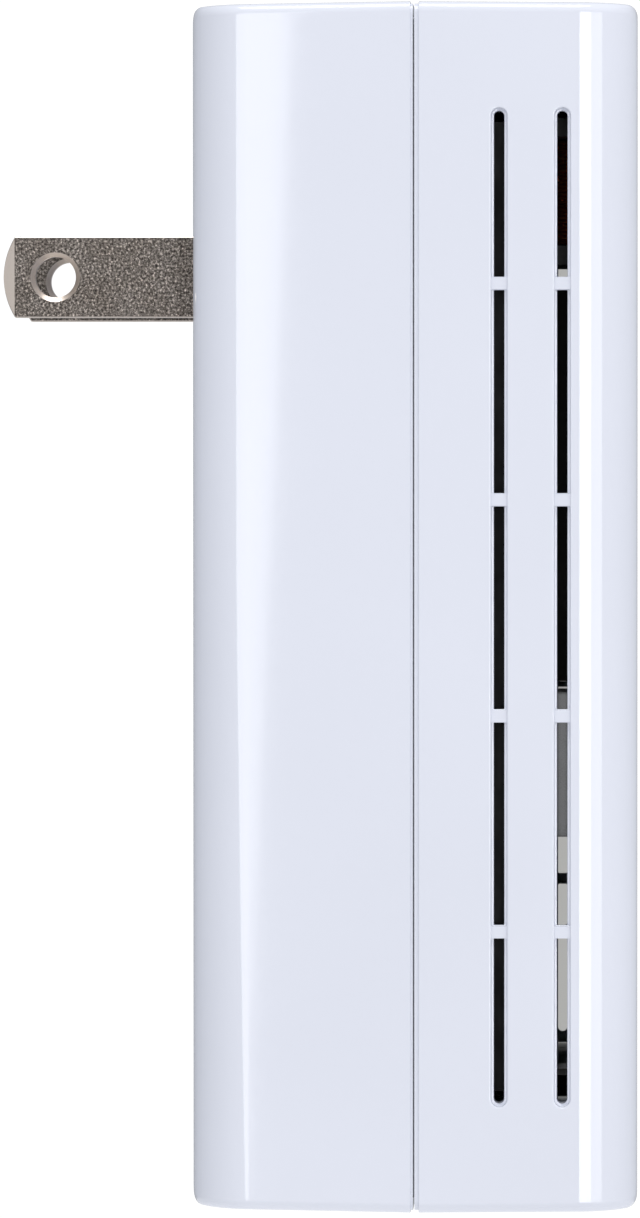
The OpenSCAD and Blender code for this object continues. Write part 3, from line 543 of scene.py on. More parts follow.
def laminate(name, colour, track):
    """Circuit board: solder mask over tracks, with a woven glass grain."""
    material, tree, surface, place = shader(name)
    turn = tree.nodes.new("ShaderNodeMapping")
    turn.inputs["Rotation"].default_value = (radians(90), 0, 0)
    tree.links.new(place, turn.inputs["Vector"])
    bricks = tree.nodes.new("ShaderNodeTexBrick")
    bricks.inputs["Scale"].default_value = 320
    bricks.inputs["Mortar Size"].default_value = 0.09
    bricks.inputs["Mortar Smooth"].default_value = 0.25
    bricks.inputs["Brick Width"].default_value = 1.3
    bricks.inputs["Row Height"].default_value = 0.5
    bricks.inputs["Color1"].default_value = (*colour, 1)
    bricks.inputs["Color2"].default_value = (*shade(colour, -0.16), 1)
    bricks.inputs["Mortar"].default_value = (*track, 1)
    tree.links.new(turn.outputs["Vector"], bricks.inputs["Vector"])
    tree.links.new(bricks.outputs["Color"], surface.inputs["Base Color"])
    weave = tree.nodes.new("ShaderNodeTexWave")
    weave.inputs["Scale"].default_value = 500
    weave.inputs["Distortion"].default_value = 0.6
    tree.links.new(turn.outputs["Vector"], weave.inputs["Vector"])
    tree.links.new(add_range(tree, weave.outputs["Fac"], 0.28, 0.4, 0, 1),
                   surface.inputs["Roughness"])
    first = add_bump(tree, bricks.outputs["Fac"], 0.5, 0.035 * MM)
    tree.links.new(add_bump(tree, weave.outputs["Fac"], 0.12, 0.01 * MM, first),
                   surface.inputs["Normal"])
    return material


def clear_plastic(name):
    """Moulded clear polycarbonate with a faint haze."""
    material = moulded(name, srgb(150, 152, 156), rough=(0.03, 0.08), grain=900, bump=0.05,
                       ior=1.58)
    surface = material.node_tree.nodes["Principled BSDF"]
    surface.inputs["Transmission Weight"].default_value = 0.85
    return material


# Colour and handling of each plain finish, by the record's slot
PLAIN = {
    "steel": dict(colour=srgb(176, 176, 178), rough=(0.22, 0.36), metallic=1.0, grain=3000),
    "label": dict(colour=srgb(226, 227, 226), rough=(0.55, 0.68), mottle=0.015, grain=3500,
                  bump=0.1),
    "carrier": dict(colour=srgb(52, 52, 56), rough=(0.42, 0.55), grain=1800),
    "brass": dict(colour=srgb(196, 160, 84), rough=(0.25, 0.4), metallic=1.0, mottle=0.1,
                  patch=500),
    "fuse_ceramic": dict(colour=srgb(222, 218, 206), rough=(0.3, 0.45), grain=1500),
    "blue_epoxy": dict(colour=srgb(30, 74, 142), rough=(0.18, 0.34), grain=900, bump=0.3,
                       mottle=0.08),
    "yellow_case": dict(colour=srgb(222, 196, 48), rough=(0.3, 0.42), grain=1300),
    "ferrite": dict(colour=srgb(50, 52, 53), rough=(0.5, 0.7), grain=2600, bump=0.35, mottle=0.12),
    "copper": dict(colour=srgb(186, 92, 50), rough=(0.16, 0.28), metallic=0.85, mottle=0.12,
                   grain=1200, patch=700, coat=0.4),
    "chip_black": dict(colour=srgb(30, 30, 32), rough=(0.48, 0.62), grain=4000, bump=0.25),
    "can_sleeve": dict(colour=srgb(26, 26, 32), rough=(0.18, 0.3), grain=800),
    "can_blue": dict(colour=srgb(30, 52, 92), rough=(0.18, 0.3), grain=800),
    "tape": dict(colour=srgb(216, 184, 50), rough=(0.2, 0.34), grain=900, mottle=0.07, coat=0.3),
    "white_package": dict(colour=srgb(226, 226, 220), rough=(0.42, 0.55), grain=3200),
    "black_plastic": dict(colour=srgb(28, 28, 29), rough=(0.36, 0.5), grain=2200),
    "film": dict(colour=srgb(13, 13, 14), rough=(0.42, 0.6), mottle=0.6, patch=900, grain=1500,
                 bump=0.5, depth=0.03 * MM, stretch=(1, 1, 0.25), ior=1.2),
    "pad": dict(colour=srgb(158, 172, 188), rough=(0.7, 0.85), grain=1800, bump=0.3),
    "black_anodised": dict(colour=srgb(24, 22, 23), rough=(0.42, 0.58), grain=4200, bump=0.3,
                           metallic=0.3),
    "crystal_case": dict(colour=srgb(200, 196, 184), rough=(0.2, 0.32), metallic=1.0),
    "tin": dict(colour=srgb(184, 186, 188), rough=(0.2, 0.36), metallic=1.0, mottle=0.07,
                stretch=(1, 1, 0.15)),
    "gold": dict(colour=srgb(222, 182, 92), rough=(0.14, 0.26), metallic=1.0, mottle=0.05),
    "led": dict(colour=srgb(236, 232, 196), rough=(0.15, 0.25), grain=1500),
    "button_white": dict(colour=srgb(214, 217, 224), rough=(0.16, 0.24), mottle=0.02, grain=1500),
    "plunger_cream": dict(colour=srgb(214, 208, 188), rough=(0.35, 0.5)),
    "plunger_red": dict(colour=srgb(142, 42, 32), rough=(0.35, 0.5)),
}


def finish(slot):
    """The material of one slot of the record, made once."""
    name = slot + "_finish"
    made = bpy.data.materials.get(name)
    if made:
        return made
    if slot == "shell_white":
        return gloss_shell(name)
    if slot == "nickel":
        return nickel(name)
    if slot == "mains_laminate":
        return laminate(name, srgb(186, 154, 92), srgb(206, 176, 112))
    if slot == "data_laminate":
        return laminate(name, srgb(22, 84, 50), srgb(46, 120, 74))
    if slot == "clear_pipe":
        return clear_plastic(name)
    return moulded(name, **PLAIN[slot])


# ------------------------------------------------------------ covers


class Form:
    """Half width and half height of the body's skin at any distance from the seam."""

    def __init__(self, side, inset):
        shell = settings()[0]
        self.side = side
        self.inset = inset
        self.draft = shell.rear_draft if side > 0 else shell.front_draft
        self.upright = max(shell.upright_radius - inset, 0.5 * MM)
        self.end = max(shell.end_radius - inset, 0.3 * MM)
        self.length = DEPTH / 2 - inset

    def reach(self, u, half, r):
        """Half size at distance u: drafted, then rounded into the end face."""
        u = abs(u)
        centre = self.length - r
        axis = half - centre * tan(self.draft) - r / cos(self.draft)
        if u > centre + r * sin(self.draft):
            return axis + sqrt(max(r * r - (u - centre) ** 2, 0))
        return half - u * tan(self.draft)

    def ring(self, u, sink=0.0):
        """One loop of the skin, drawn in further by sink."""
        hx = self.reach(u, HALF_W - self.inset, self.upright) - sink
        hz = self.reach(u, HALF_H - self.inset, self.end) - sink
        outline = rounded(2 * hx, 2 * hz, self.end)
        return [Vector((x, SEAM_Y + self.side * u, MID_Z + z)) for x, z in outline(0)]

    def stations(self, start):
        """Distances from the seam at which the skin needs a loop, from start to its end."""
        stops = {start, self.length}
        for r, steps in ((self.upright, 26), (self.end, 8)):
            for t in arc(0, 90, steps):
                t = self.draft + (pi / 2 - self.draft) * t / (pi / 2)
                stops.add(round(self.length - r + r * sin(t), 9))
        ordered = sorted(s for s in stops if s >= start)
        kept = [ordered[0]]
        for s in ordered[1:]:
            if s - kept[-1] > 0.004 * MM or s == self.length:
                kept.append(s)
        return kept


def cover_skin(name, side, groove, lip):
    """A cover as one closed skin. lip is the list of (distance, inset) at its seam end."""
    shell = settings()[0]
    outer, inner = Form(side, 0), Form(side, shell.wall)
    ease = 0.035 * MM
    rings = [outer.ring(u) for u in reversed(outer.stations(groove + ease))]
    rings.append(outer.ring(groove, ease))
    rings.append(outer.ring(groove, shell.groove_depth))
    rings.append(outer.ring(shell.seam_gap / 2, shell.groove_depth))
    for u, inset in lip:
        rings.append(Form(side, inset).ring(u))
    rings += [inner.ring(u) for u in inner.stations(0.0)]
    bm = bmesh.new()
    add_loft(bm, rings)
    return new_object(name, bm)


def on_rear(x, z, y=0.0):
    """A place on the wall-side face, heights toward +Y."""
    return place_at((x, y, MID_Z + z), (1, 0, 0), (0, 0, 1), (0, 1, 0))


def on_front(x, z):
    """A place on the front face, heights toward -Y."""
    return place_at((x, -DEPTH, MID_Z + z), (1, 0, 0), (0, 0, 1), (0, -1, 0))


def on_bottom(x, y, z):
    """A place on the bottom face, heights toward -Z."""
    return place_at((x, y, z), (1, 0, 0), (0, 1, 0), (0, 0, -1))


def corners():
    """Where the four cover screws stand, as places across and up from the middle."""
    return [(sx * SCREW_X, sz * SCREW_Z) for sx in (-1, 1) for sz in (-1, 1)]


def add_rods(bm, r, y_front, y_rear, steps=40):
    """A round bar along the depth at each cover screw."""
    for x, z in corners():
        add_prism(bm, disc(r, steps), [(y_front, 0), (y_rear, 0)], on_rear(x, z))


def port_tool(bm):
    """The opening for the jack, through the bottom wall of both covers."""
    wall = settings()[0].wall
    play = 0.3 * MM
    width = SHIELD_HIGH.x - SHIELD_LOW.x + 2 * play
    depth = SHIELD_HIGH.y - DATA_HIGH.y + 2 * play
    middle = (SHIELD_HIGH.y + DATA_HIGH.y) / 2
    face = MID_Z - HALF_H
    add_prism(bm, rounded(width, depth, 0.25 * MM, 4), rim_levels(wall + MM, 0.12 * MM),
              on_bottom(0, middle, face + 0.02 * MM))


def build_rear_cover():
    """The wall-side cover: label recess, screw wells, blade slots and half of the port."""
    shell = settings()[0]
    rebate, tongue = 1.0 * MM, 1.6 * MM
    cover = cover_skin("rear_cover_shell", 1, shell.groove_rear,
                       [(shell.seam_gap / 2, rebate), (tongue, rebate), (tongue, shell.wall)])
    bm = bmesh.new()
    add_rods(bm, REAR_POST_R, SEAM_Y + tongue + 0.3 * MM, -MM)
    apply_boolean(cover, bm, "UNION")
    bm = bmesh.new()
    for x, z in corners():
        add_prism(bm, disc(SCREW_WELL_R), rim_levels(-SCREW_SEAT_Y, 0.25 * MM), on_rear(x, z))
    apply_boolean(cover, bm, "DIFFERENCE")
    bm = bmesh.new()
    for s in (-1, 1):
        add_prism(bm, rounded(BLADE_T + 0.12 * MM, BLADE_W + 0.12 * MM, 0.1 * MM, 3),
                  rim_levels(shell.wall + MM, 0.09 * MM),
                  on_rear(s * BLADE_X, -MID_Z))
    apply_boolean(cover, bm, "DIFFERENCE")
    bm = bmesh.new()
    width, height = LABEL_HIGH.x - LABEL_LOW.x, LABEL_HIGH.z - LABEL_LOW.z
    middle = (LABEL_HIGH.z + LABEL_LOW.z) / 2 - MID_Z
    add_prism(bm, rounded(width + 0.3 * MM, height + 0.3 * MM, 1.5 * MM),
              rim_levels(0.2 * MM, 0.06 * MM), on_rear(0, middle))
    apply_boolean(cover, bm, "DIFFERENCE")
    bm = bmesh.new()
    port_tool(bm)
    apply_boolean(cover, bm, "DIFFERENCE")
    bm = bmesh.new()
    add_rods(bm, REAR_BORE_R, SEAM_Y, SCREW_SEAT_Y + 0.4 * MM, 28)
    apply_boolean(cover, bm, "DIFFERENCE")
    even_normals(cover)
    return fit(cover, "rear_cover")


def vent_places(sign):
    """Where the two vent columns of one side lie: frames on the drafted side face."""
    shell, vents = settings()[:2]
    form = Form(-1, 0)
    places = []
    for column in (0, 1):
        y = -DEPTH + vents.front_in + column * vents.pitch
        x = form.reach(SEAM_Y - y, HALF_W, form.upright)
        s, c = sin(shell.front_draft), cos(shell.front_draft)
        places.append(place_at((sign * x, y, MID_Z), (sign * s, c, 0), (0, 0, 1),
                               (sign * c, -s, 0)))
    return places


def vent_tools(rims, cells):
    """The rounded rim of every column, and the five openings below it."""
    vents = settings()[1]
    drop, ledge = 0.2 * MM, 0.75 * MM
    step = vents.length / 4.62
    half = vents.length / 2
    stops = [-half] + [b * step for b in (-1.5, -0.5, 0.5, 1.5)] + [half]
    inset = (vents.width - vents.throat) / 2
    for sign in (-1, 1):
        for put in vent_places(sign):
            whole = cell(vents.width, -half, half, vents.width, vents.width)
            add_prism(rims, whole, rim_levels(drop, vents.rim), put)
            for i in range(5):
                low = stops[i] + (vents.bar / 2 if i else 0)
                high = stops[i + 1] - (vents.bar / 2 if i < 4 else 0)
                ends = [vents.width if i == 0 else 0.12 * MM, vents.width if i == 4 else 0.12 * MM]
                shape = cell(vents.width - 0.02 * MM, low + (0.01 * MM if i == 0 else 0),
                             high - (0.01 * MM if i == 4 else 0), *ends)
                inner = cell(vents.throat, low + (inset if i == 0 else 0),
                             high - (inset if i == 4 else 0), *ends)
                levels = [(-drop + 0.08 * MM, shape, 0.0), (-ledge + 0.05 * MM, shape, 0.0),
                          (-ledge, shape, -0.05 * MM), (-ledge - 0.01 * MM, inner, 0.04 * MM),
                          (-ledge - 0.06 * MM, inner, 0.0), (-3.2 * MM, inner, 0.0)]
                add_loft(cells, [[put(a, b, h) for a, b in outline(grow)]
                                 for h, outline, grow in levels])


def build_front_cover():
    """The front cover: vents, lamp windows, button slot, pinhole and half of the port."""
    shell = settings()[0]
    inset, reach = 1.1 * MM, 1.4 * MM
    cover = cover_skin("front_cover_shell", -1, shell.groove_front,
                       [(shell.seam_gap / 2, inset), (-reach, inset), (-reach, shell.wall)])
    bm = bmesh.new()
    add_rods(bm, FRONT_POST_R, -DEPTH + MM, SEAM_Y - shell.seam_gap)
    apply_boolean(cover, bm, "UNION")
    face = MID_Z - HALF_H
    control_y = (PIN_LOW.y + PIN_HIGH.y) / 2
    bottom = face + tan(shell.front_draft) * (SEAM_Y - control_y)
    rims, cells = bmesh.new(), bmesh.new()
    vent_tools(rims, cells)
    for i in range(3):
        z = (LEDS_HIGH.z + LEDS_LOW.z) / 2 + (1 - i) * 4 * MM
        add_prism(rims, disc(1.05 * MM, 32), rim_levels(shell.wall + MM, 0.1 * MM),
                  on_front(0, z - MID_Z))
    button_x = (BUTTON_LOW.x + BUTTON_HIGH.x) / 2
    add_prism(rims, rounded(6.3 * MM, 2.5 * MM, 1.24 * MM, 10),
              rim_levels(shell.wall + MM, 0.15 * MM), on_bottom(button_x, control_y, bottom))
    pin_x = (PIN_LOW.x + PIN_HIGH.x) / 2
    add_prism(rims, disc(0.8 * MM, 28), rim_levels(shell.wall + MM, 0.15 * MM),
              on_bottom(pin_x, control_y, bottom))
    port_tool(rims)
    apply_boolean(cover, rims, "DIFFERENCE")
    add_rods(cells, FRONT_BORE_R, SCREW_TIP_Y - MM, SEAM_Y + MM, 28)
    apply_boolean(cover, cells, "DIFFERENCE")
    even_normals(cover)
    return fit(cover, "front_cover")


# ------------------------------------------------------------ plug


def build_blade(node):
    """One blade: eased long edges, a bevelled and arched tip, a countersunk hole."""
    plug = settings()[2]
    low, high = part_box(node)
    x = (low.x + high.x) / 2
    half_t, half_w, tip_y = BLADE_T / 2, BLADE_W / 2, high.y
    arch = plug.tip_radius
    arch_y = tip_y - arch
    bevel = arch - sqrt(arch ** 2 - half_w ** 2)
    start = tip_y - bevel

    def station(y):
        thick, wide, edge = half_t, half_w, plug.edge
        if y > start:
            thick -= (y - start) / bevel * half_t * 0.55
            wide = min(wide, sqrt(max(arch ** 2 - (y - arch_y) ** 2, 0)))
        wide = max(wide, 0.2 * MM)
        outline = rounded(2 * thick, 2 * wide, min(edge, wide * 0.9, thick * 0.9), 3)
        return [Vector((x + a, y, b)) for a, b in outline(0)]

    ys = [low.y, low.y + 0.3 * MM, -MM, start - 0.03 * MM, start + 0.03 * MM]
    turn = atan(half_w / (arch - bevel))
    ys += [arch_y + arch * cos(turn * (1 - i / 22)) for i in range(1, 22)] + [tip_y - 0.002 * MM]
    bm = bmesh.new()
    add_loft(bm, [station(y) for y in ys])
    blade = new_object(node + "_bar", bm)
    bm = bmesh.new()
    r, sink, q = plug.hole / 2, plug.sink, 0.04 * MM
    edge = BLADE_T / 2
    profile = [(r + sink + 0.4 * MM + q, edge + 0.4 * MM), (r + sink + q, edge),
               (r + sink, edge - q),
               (r + q, edge - sink), (r, edge - sink - q)]
    profile = profile + [(rad, -h) for rad, h in reversed(profile)]
    add_turned(bm, profile, place_at((x, BLADE_HOLE_Y, 0), (0, 1, 0), (0, 0, 1), (1, 0, 0)), 64)
    apply_boolean(blade, bm, "DIFFERENCE")
    even_normals(blade, 15)
    return fit(blade, node)


# ------------------------------------------------------------ inner pieces


def add_part(name, bm, node, slot):
    """A loose part that belongs to a CAD node's body, with a finish of its own."""
    part = new_object(name, bm)
    part.data.materials.append(finish(slot))
    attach(part, BODY_OF[node])
    return part


def standing(x, z, y):
    """A place on a board's front face, heights toward the front."""
    return place_at((x, y, z), (1, 0, 0), (0, 0, 1), (0, -1, 0))


def build_cans(node):
    """Two can capacitors: a crimped sleeve each, and a scored metal top."""
    low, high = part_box(node)
    r, tall = (high.x - low.x) / 2, high.y - low.y
    ease, crimp = 0.25 * MM, 0.33 * MM
    profile = [(r - ease, 0), (r, ease), (r, 1.35 * MM), (r - crimp, 1.6 * MM),
               (r - crimp, 1.95 * MM), (r, 2.2 * MM), (r, tall - 0.5 * MM),
               (r - 0.14 * MM, tall - 0.14 * MM), (r - 0.5 * MM, tall),
               (r - 0.85 * MM, tall - 0.05 * MM), (r - 0.9 * MM, tall - 0.35 * MM)]
    sleeves, tops, scores = bmesh.new(), bmesh.new(), bmesh.new()
    for z in (low.z + r, high.z - r):
        put = standing((low.x + high.x) / 2, z, high.y)
        add_turned(sleeves, profile, put, 56)
        add_turned(tops, [(r - 0.95 * MM, tall - 0.4 * MM), (r - 0.95 * MM, tall - 0.16 * MM),
                          (r - 1.1 * MM, tall - 0.1 * MM)], put, 56)
        score = 2 * r - 2.8 * MM
        add_prism(scores, rounded(score, 0.28 * MM, 0.1 * MM, 2),
                  [(tall, 0), (tall - 0.2 * MM, 0)], put)
    caps = add_part(node + "_tops", tops, node, "tin")
    apply_boolean(caps, scores, "DIFFERENCE")
    even_normals(caps)
    return fit(new_object(node + "_sleeves", sleeves), node)


def build_choke_windings():
    """Two halves of enamelled wire, wound round the ring core turn by turn."""
    low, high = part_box("choke_core")
    put = standing((low.x + high.x) / 2, (low.z + high.z) / 2, high.y)
    outer, tall, inner = (high.x - low.x) / 2, high.y - low.y, 3.5 * MM
    wire, off, turns, spread = 0.26 * MM, 0.31 * MM, 11, radians(120)
    soft = 0.35 * MM
    loop = [(outer + off, soft), (outer + off, tall - soft), (outer - soft, tall + off),
            (inner + soft, tall + off), (inner - off, tall - soft), (inner - off, soft),
            (inner + soft, -off), (outer - soft, -off)]
    bm = bmesh.new()
    for start in (-spread / 2, pi - spread / 2):
        path = []
        for i in range(turns * len(loop)):
            r, h = loop[i % len(loop)]
            turn = start + spread * i / (turns * len(loop))
            path.append(put(r * cos(turn), r * sin(turn), h))
        add_tube(bm, path, wire)
    return fit(new_object("choke_turns", bm), "choke_windings")


def build_coupling_winding():
    """Fine wire wound in one close layer over the drum core."""
    low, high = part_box("coupling_winding")
    wire, around = 0.15 * MM, 14
    r = (high.x - low.x) / 2 - wire
    put = place_at(((low.x + high.x) / 2, (low.y + high.y) / 2, low.z), (1, 0, 0), (0, -1, 0),
                   (0, 0, 1))
    tall = high.z - low.z
    turns = int((tall - 2 * wire) / (1.94 * wire))
    path = []
    for i in range(turns * around + 1):
        turn = 2 * pi * i / around
        path.append(put(r * cos(turn), r * sin(turn),
                        wire + (tall - 2 * wire) * i / (turns * around)))
    bm = bmesh.new()
    add_tube(bm, path, wire, 6)
    add_turned(bm, [(r - 0.9 * MM, 0.05 * MM), (r - 0.04 * MM, 0.12 * MM),
                    (r - 0.04 * MM, tall - 0.12 * MM), (r - 0.9 * MM, tall - 0.05 * MM)], put, 28)
    return fit(new_object("coupling_turns", bm), "coupling_winding")


def build_filter_inductor():
    """A drum inductor with eased flanges and a waisted winding under its sleeve."""
    low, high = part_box("filter_inductor")
    r, tall = (high.x - low.x) / 2, high.y - low.y
    ease, flange, waist = 0.2 * MM, 1.2 * MM, 0.5 * MM
    half = [(r - ease, 0), (r, ease), (r, flange - ease), (r - ease, flange),
            (r - waist, flange + 0.25 * MM), (r - waist - 0.05 * MM, tall / 2)]
    profile = half + [(rad, tall - h) for rad, h in reversed(half[:-1])]
    bm = bmesh.new()
    add_turned(bm, profile, standing((low.x + high.x) / 2, (low.z + high.z) / 2, high.y), 48)
    return fit(new_object("filter_inductor_drum", bm), "filter_inductor")


def build_disc(node, lead_r):
    """A dipped disc with a swollen middle, standing on two formed leads."""
    low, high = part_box(node)
    r, thick = (high.z - low.z) / 2, high.x - low.x
    x, z, y = (low.x + high.x) / 2, (low.z + high.z) / 2, low.y + r
    edge = thick * 0.32
    rim = [(r - edge + edge * sin(t), thick / 2 - edge + edge * cos(t)) for t in arc(0, 90, 5)]
    face = [(r * 0.45, thick / 2 - 0.02 * MM)] + rim
    profile = face + [(rad, -h) for rad, h in reversed(face)]
    bm = bmesh.new()
    add_turned(bm, profile, place_at((x, y, z), (0, 1, 0), (0, 0, 1), (1, 0, 0)), 56)
    leads = bmesh.new()
    for side in (-1, 1):
        reach = 2.5 * MM * side
        points = [(reach, 0.0), (reach, 0.5 * MM), (reach * 0.94, 1.1 * MM), (reach * 0.94, r)]
        add_tube(leads, [Vector((x, high.y - h, z + a)) for a, h in points], lead_r, 10)
    add_part(node + "_leads", leads, node, "tin")
    return fit(new_object(node + "_body", bm), node)


def standing_boxes():
    """The boxes of everything that stands on the boards, or near them."""
    open_nodes = ("rear_cover", "front_cover", "insulator_film", "port_shield", "header_pins",
                  "mains_board", "data_board")
    return [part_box(node) for node in NODES if node not in open_nodes]


def is_free(boxes, x, z, near, far, margin):
    """Whether none of the boxes covers a spot, between two depths."""
    return not any(low.x - margin < x < high.x + margin and low.z - margin < z < high.z + margin
                   and low.y < far and high.y > near for low, high in boxes)


def build_solder():
    """Solder fillets round the leads, on the mains board's wall side."""
    spots, boxes = [], standing_boxes()
    for node, apart, along in (("fuse", 15.6 * MM, 0), ("varistor", 5 * MM, 1),
                               ("disc_capacitor", 5 * MM, 1), ("filter_inductor", 3 * MM, 0),
                               ("choke_core", 9.4 * MM, 0), ("transformer_winding", 5 * MM, 0)):
        low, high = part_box(node)
        x, z = (low.x + high.x) / 2, (low.z + high.z) / 2
        for side in (-0.5, 0.5):
            spots.append((x + apart * side * (1 - along), z + apart * side * along))
    low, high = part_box("header_pins")
    for i in range(4):
        for z in (low.z + 0.32 * MM, high.z - 0.32 * MM):
            spots.append((low.x + 0.32 * MM + i * (high.x - low.x - 0.64 * MM) / 3, z))
    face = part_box("mains_board")[1].y
    bm = bmesh.new()
    for x, z in spots:
        if is_free(boxes, x, z, face + 0.05 * MM, face + MM, MM):
            add_turned(bm, [(0.95 * MM, -0.02 * MM), (0.9 * MM, 0.05 * MM), (0.6 * MM, 0.2 * MM),
                            (0.42 * MM, 0.5 * MM), (0.34 * MM, 0.75 * MM), (0.2 * MM, 0.85 * MM)],
                       on_rear(x, z - MID_Z, face), 20)
    return add_part("solder_joints", bm, "mains_board", "tin")


def build_chip_parts():
    """Small surface-mounted parts with tinned ends, wherever the boards have room."""
    bodies, ends = bmesh.new(), bmesh.new()
    long, wide, tall = 1.6 * MM, 0.8 * MM, 0.5 * MM
    boxes = standing_boxes()
    for node, out in (("mains_board", 1), ("data_board", -1)):
        low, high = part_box(node)
        face = high.y if out > 0 else low.y
        near, far = sorted((face + out * 0.05 * MM, face + out * 0.7 * MM))
        count = 0
        for i in range(13):
            for j in range(22):
                x = low.x + 3.4 * MM + i * 3.4 * MM
                z = low.z + 4.4 * MM + j * 3.6 * MM
                # a fixed scatter, so that the rows don't look ruled
                pick = (i * 7 + j * 11 + (i * j) % 5) % 9
                if z > high.z - 3 * MM or x > high.x - 3 * MM or pick > 1:
                    continue
                if not is_free(boxes, x, z, near, far, 1.5 * MM):
                    continue
                u, v = ((1, 0, 0), (0, 0, 1)) if pick else ((0, 0, 1), (1, 0, 0))
                put = place_at((x, face, z), u, v, (0, out, 0))
                ease = 0.05 * MM
                add_prism(bodies, rounded(long - 0.5 * MM, wide - 0.04 * MM, 0.03 * MM, 2),
                          [(0, 0), (tall - ease, 0), (tall, -ease)], put)
                for side in (-1, 1):
                    end = place_at(put(side * (long / 2 - 0.16 * MM), 0, 0), u, v, (0, out, 0))
                    add_prism(ends, rounded(0.34 * MM, wide, 0.06 * MM, 2),
                              [(0, 0), (tall - ease, 0), (tall + 0.02 * MM, -ease)], end)
                count += 1
        if count < 4:
            raise RuntimeError(f"{node}: no room for its small parts")
    add_part("chip_part_ends", ends, "mains_board", "tin")
    return add_part("chip_part_bodies", bodies, "mains_board", "chip_black")


# ------------------------------------------------------------ stage


def add_softbox(name, place, target, size, power, roll=0.0):
    """A rectangular lamp at a place, facing a target and rolled about its axis."""
    lamp = bpy.data.lights.new(name, "AREA")
    lamp.shape, lamp.size, lamp.size_y = "RECTANGLE", size[0], size[1]
    lamp.energy = power
    obj = bpy.data.objects.new(name, lamp)
    obj.visible_diffuse = False
    bpy.context.scene.collection.objects.link(obj)
    way = (Vector(target) - Vector(place)).to_track_quat("-Z", "Y")
    obj.matrix_world = (Matrix.Translation(place) @ way.to_matrix().to_4x4()
                        @ Matrix.Rotation(roll, 4, "Z"))
    return obj


def softbox_between(name, near, far, low, high, radiance, roll=0.0):
    """A flat upright lamp spanning two points of the plan, with an even brightness."""
    near, far = Vector((*near, 0)), Vector((*far, 0))
    middle = (near + far) / 2
    middle.z = (low + high) / 2
    along = (far - near).normalized()
    out = Vector((0, 0, 1)).cross(along)
    if out.dot(-middle) < 0:
        out = -out
    width, height = (far - near).length, high - low
    return add_softbox(name, middle, middle + out, (width, height),
                       radiance * 4 * width * height, roll)


def flag_lamp(lamp_name, piece, state):
    """Keeps one lamp's light off a piece, or keeps it to the piece, as a studio's flags do."""
    lamp = bpy.data.objects[lamp_name]
    flag = bpy.data.collections.get(lamp_name + "_flag")
    if flag is None:
        flag = bpy.data.collections.new(lamp_name + "_flag")
        lamp.light_linking.receiver_collection = flag
    flag.objects.link(piece)
    flag.collection_objects[-1].light_linking.link_state = state


# Tall strip lamps beyond the camera, which show only as highlights: the two ends of each in
# plan, its foot and head, its brightness and its roll
STRIP_LAMPS = {
    "front_lamp_inner": ((-1.2, -0.088), (-1.1, -0.53), -0.24, 0.16, 5.0),
    "front_lamp_outer": ((-1.1, -0.53), (-0.85, -0.92), -0.24, 0.16, 2.2),
    "rear_lamp": ((-0.6, 0.0415), (-1.769, 0.941), -0.124, 0.2, 2.9, radians(-4.4)),
}

# Small lamps for the plug's bevels and countersinks: place, target, size and power
PLUG_LAMPS = {
    "plug_lamp_rear": ((-0.5, 0.52, 0.0), (0, 0, 0), (0.34, 0.5), 0.3),
    "plug_lamp_front": ((-0.12, -0.7, -0.05), (0, 0, 0), (0.3, 0.5), 4.8),
    "plug_lamp_top": ((-0.2, 0.02, 0.6), (0, 0, 0), (0.4, 0.3), 6.0),
}


def build_camera(studio):
    """The camera, turned halfway toward the body's middle, with a shift for the rest."""
    scene = bpy.context.scene
    camera = bpy.data.objects.new("camera", bpy.data.cameras.new("camera"))
    scene.collection.objects.link(camera)
    camera.data.lens, camera.data.sensor_width = studio.lens, 36
    camera.data.clip_start, camera.data.clip_end = 0.01, 20
    camera.location = (-studio.camera_x, studio.camera_y, studio.camera_z)
    focal = studio.lens / 36
    yaw, pitch = atan(studio.aside / focal) / 2, atan(studio.below / focal) / 2
    way = Vector((cos(yaw) * cos(pitch), sin(yaw) * cos(pitch), -sin(pitch)))
    camera.rotation_mode = "QUATERNION"
    camera.rotation_quaternion = way.to_track_quat("-Z", "Y")
    camera.data.shift_x = tan(yaw) * focal - studio.aside
    camera.data.shift_y = tan(pitch) * focal - studio.below
    scene.camera = camera
    scene.view_settings.view_transform = "Standard"


def build_room(studio):
    """Room light, brightest beyond the front's near edge, and a pale background."""
    world = bpy.data.worlds.new("room")
    bpy.context.scene.world = world
    world.use_nodes = True
    tree = world.node_tree
    tree.nodes.clear()
    out = tree.nodes.new("ShaderNodeOutputWorld")
    seen, room, mix = (tree.nodes.new(kind) for kind in
                       ("ShaderNodeBackground", "ShaderNodeBackground", "ShaderNodeMixShader"))
    seen.inputs["Strength"].default_value = 1.05
    room.inputs["Strength"].default_value = studio.sky
    seen.inputs["Color"].default_value = (1, 1, 1, 1)
    place = tree.nodes.new("ShaderNodeTexCoord").outputs["Generated"]
    toward = tree.nodes.new("ShaderNodeVectorMath")
    toward.operation = "DOT_PRODUCT"
    toward.inputs[1].default_value = (-0.85, -0.5, 0.15)
    tree.links.new(place, toward.inputs[0])
    dim = add_ramp(tree, add_range(tree, toward.outputs["Value"], 0, 1, -1, 1),
                   [(0.0, (0.26, 0.27, 0.29)), (0.5, (0.5, 0.51, 0.53)), (1.0, (1.0, 1.0, 1.03))])
    tree.links.new(dim, room.inputs["Color"])
    ray = tree.nodes.new("ShaderNodeLightPath")
    tree.links.new(ray.outputs["Is Camera Ray"], mix.inputs["Fac"])
    tree.links.new(room.outputs[0], mix.inputs[1])
    tree.links.new(seen.outputs[0], mix.inputs[2])
    tree.links.new(mix.outputs[0], out.inputs["Surface"])


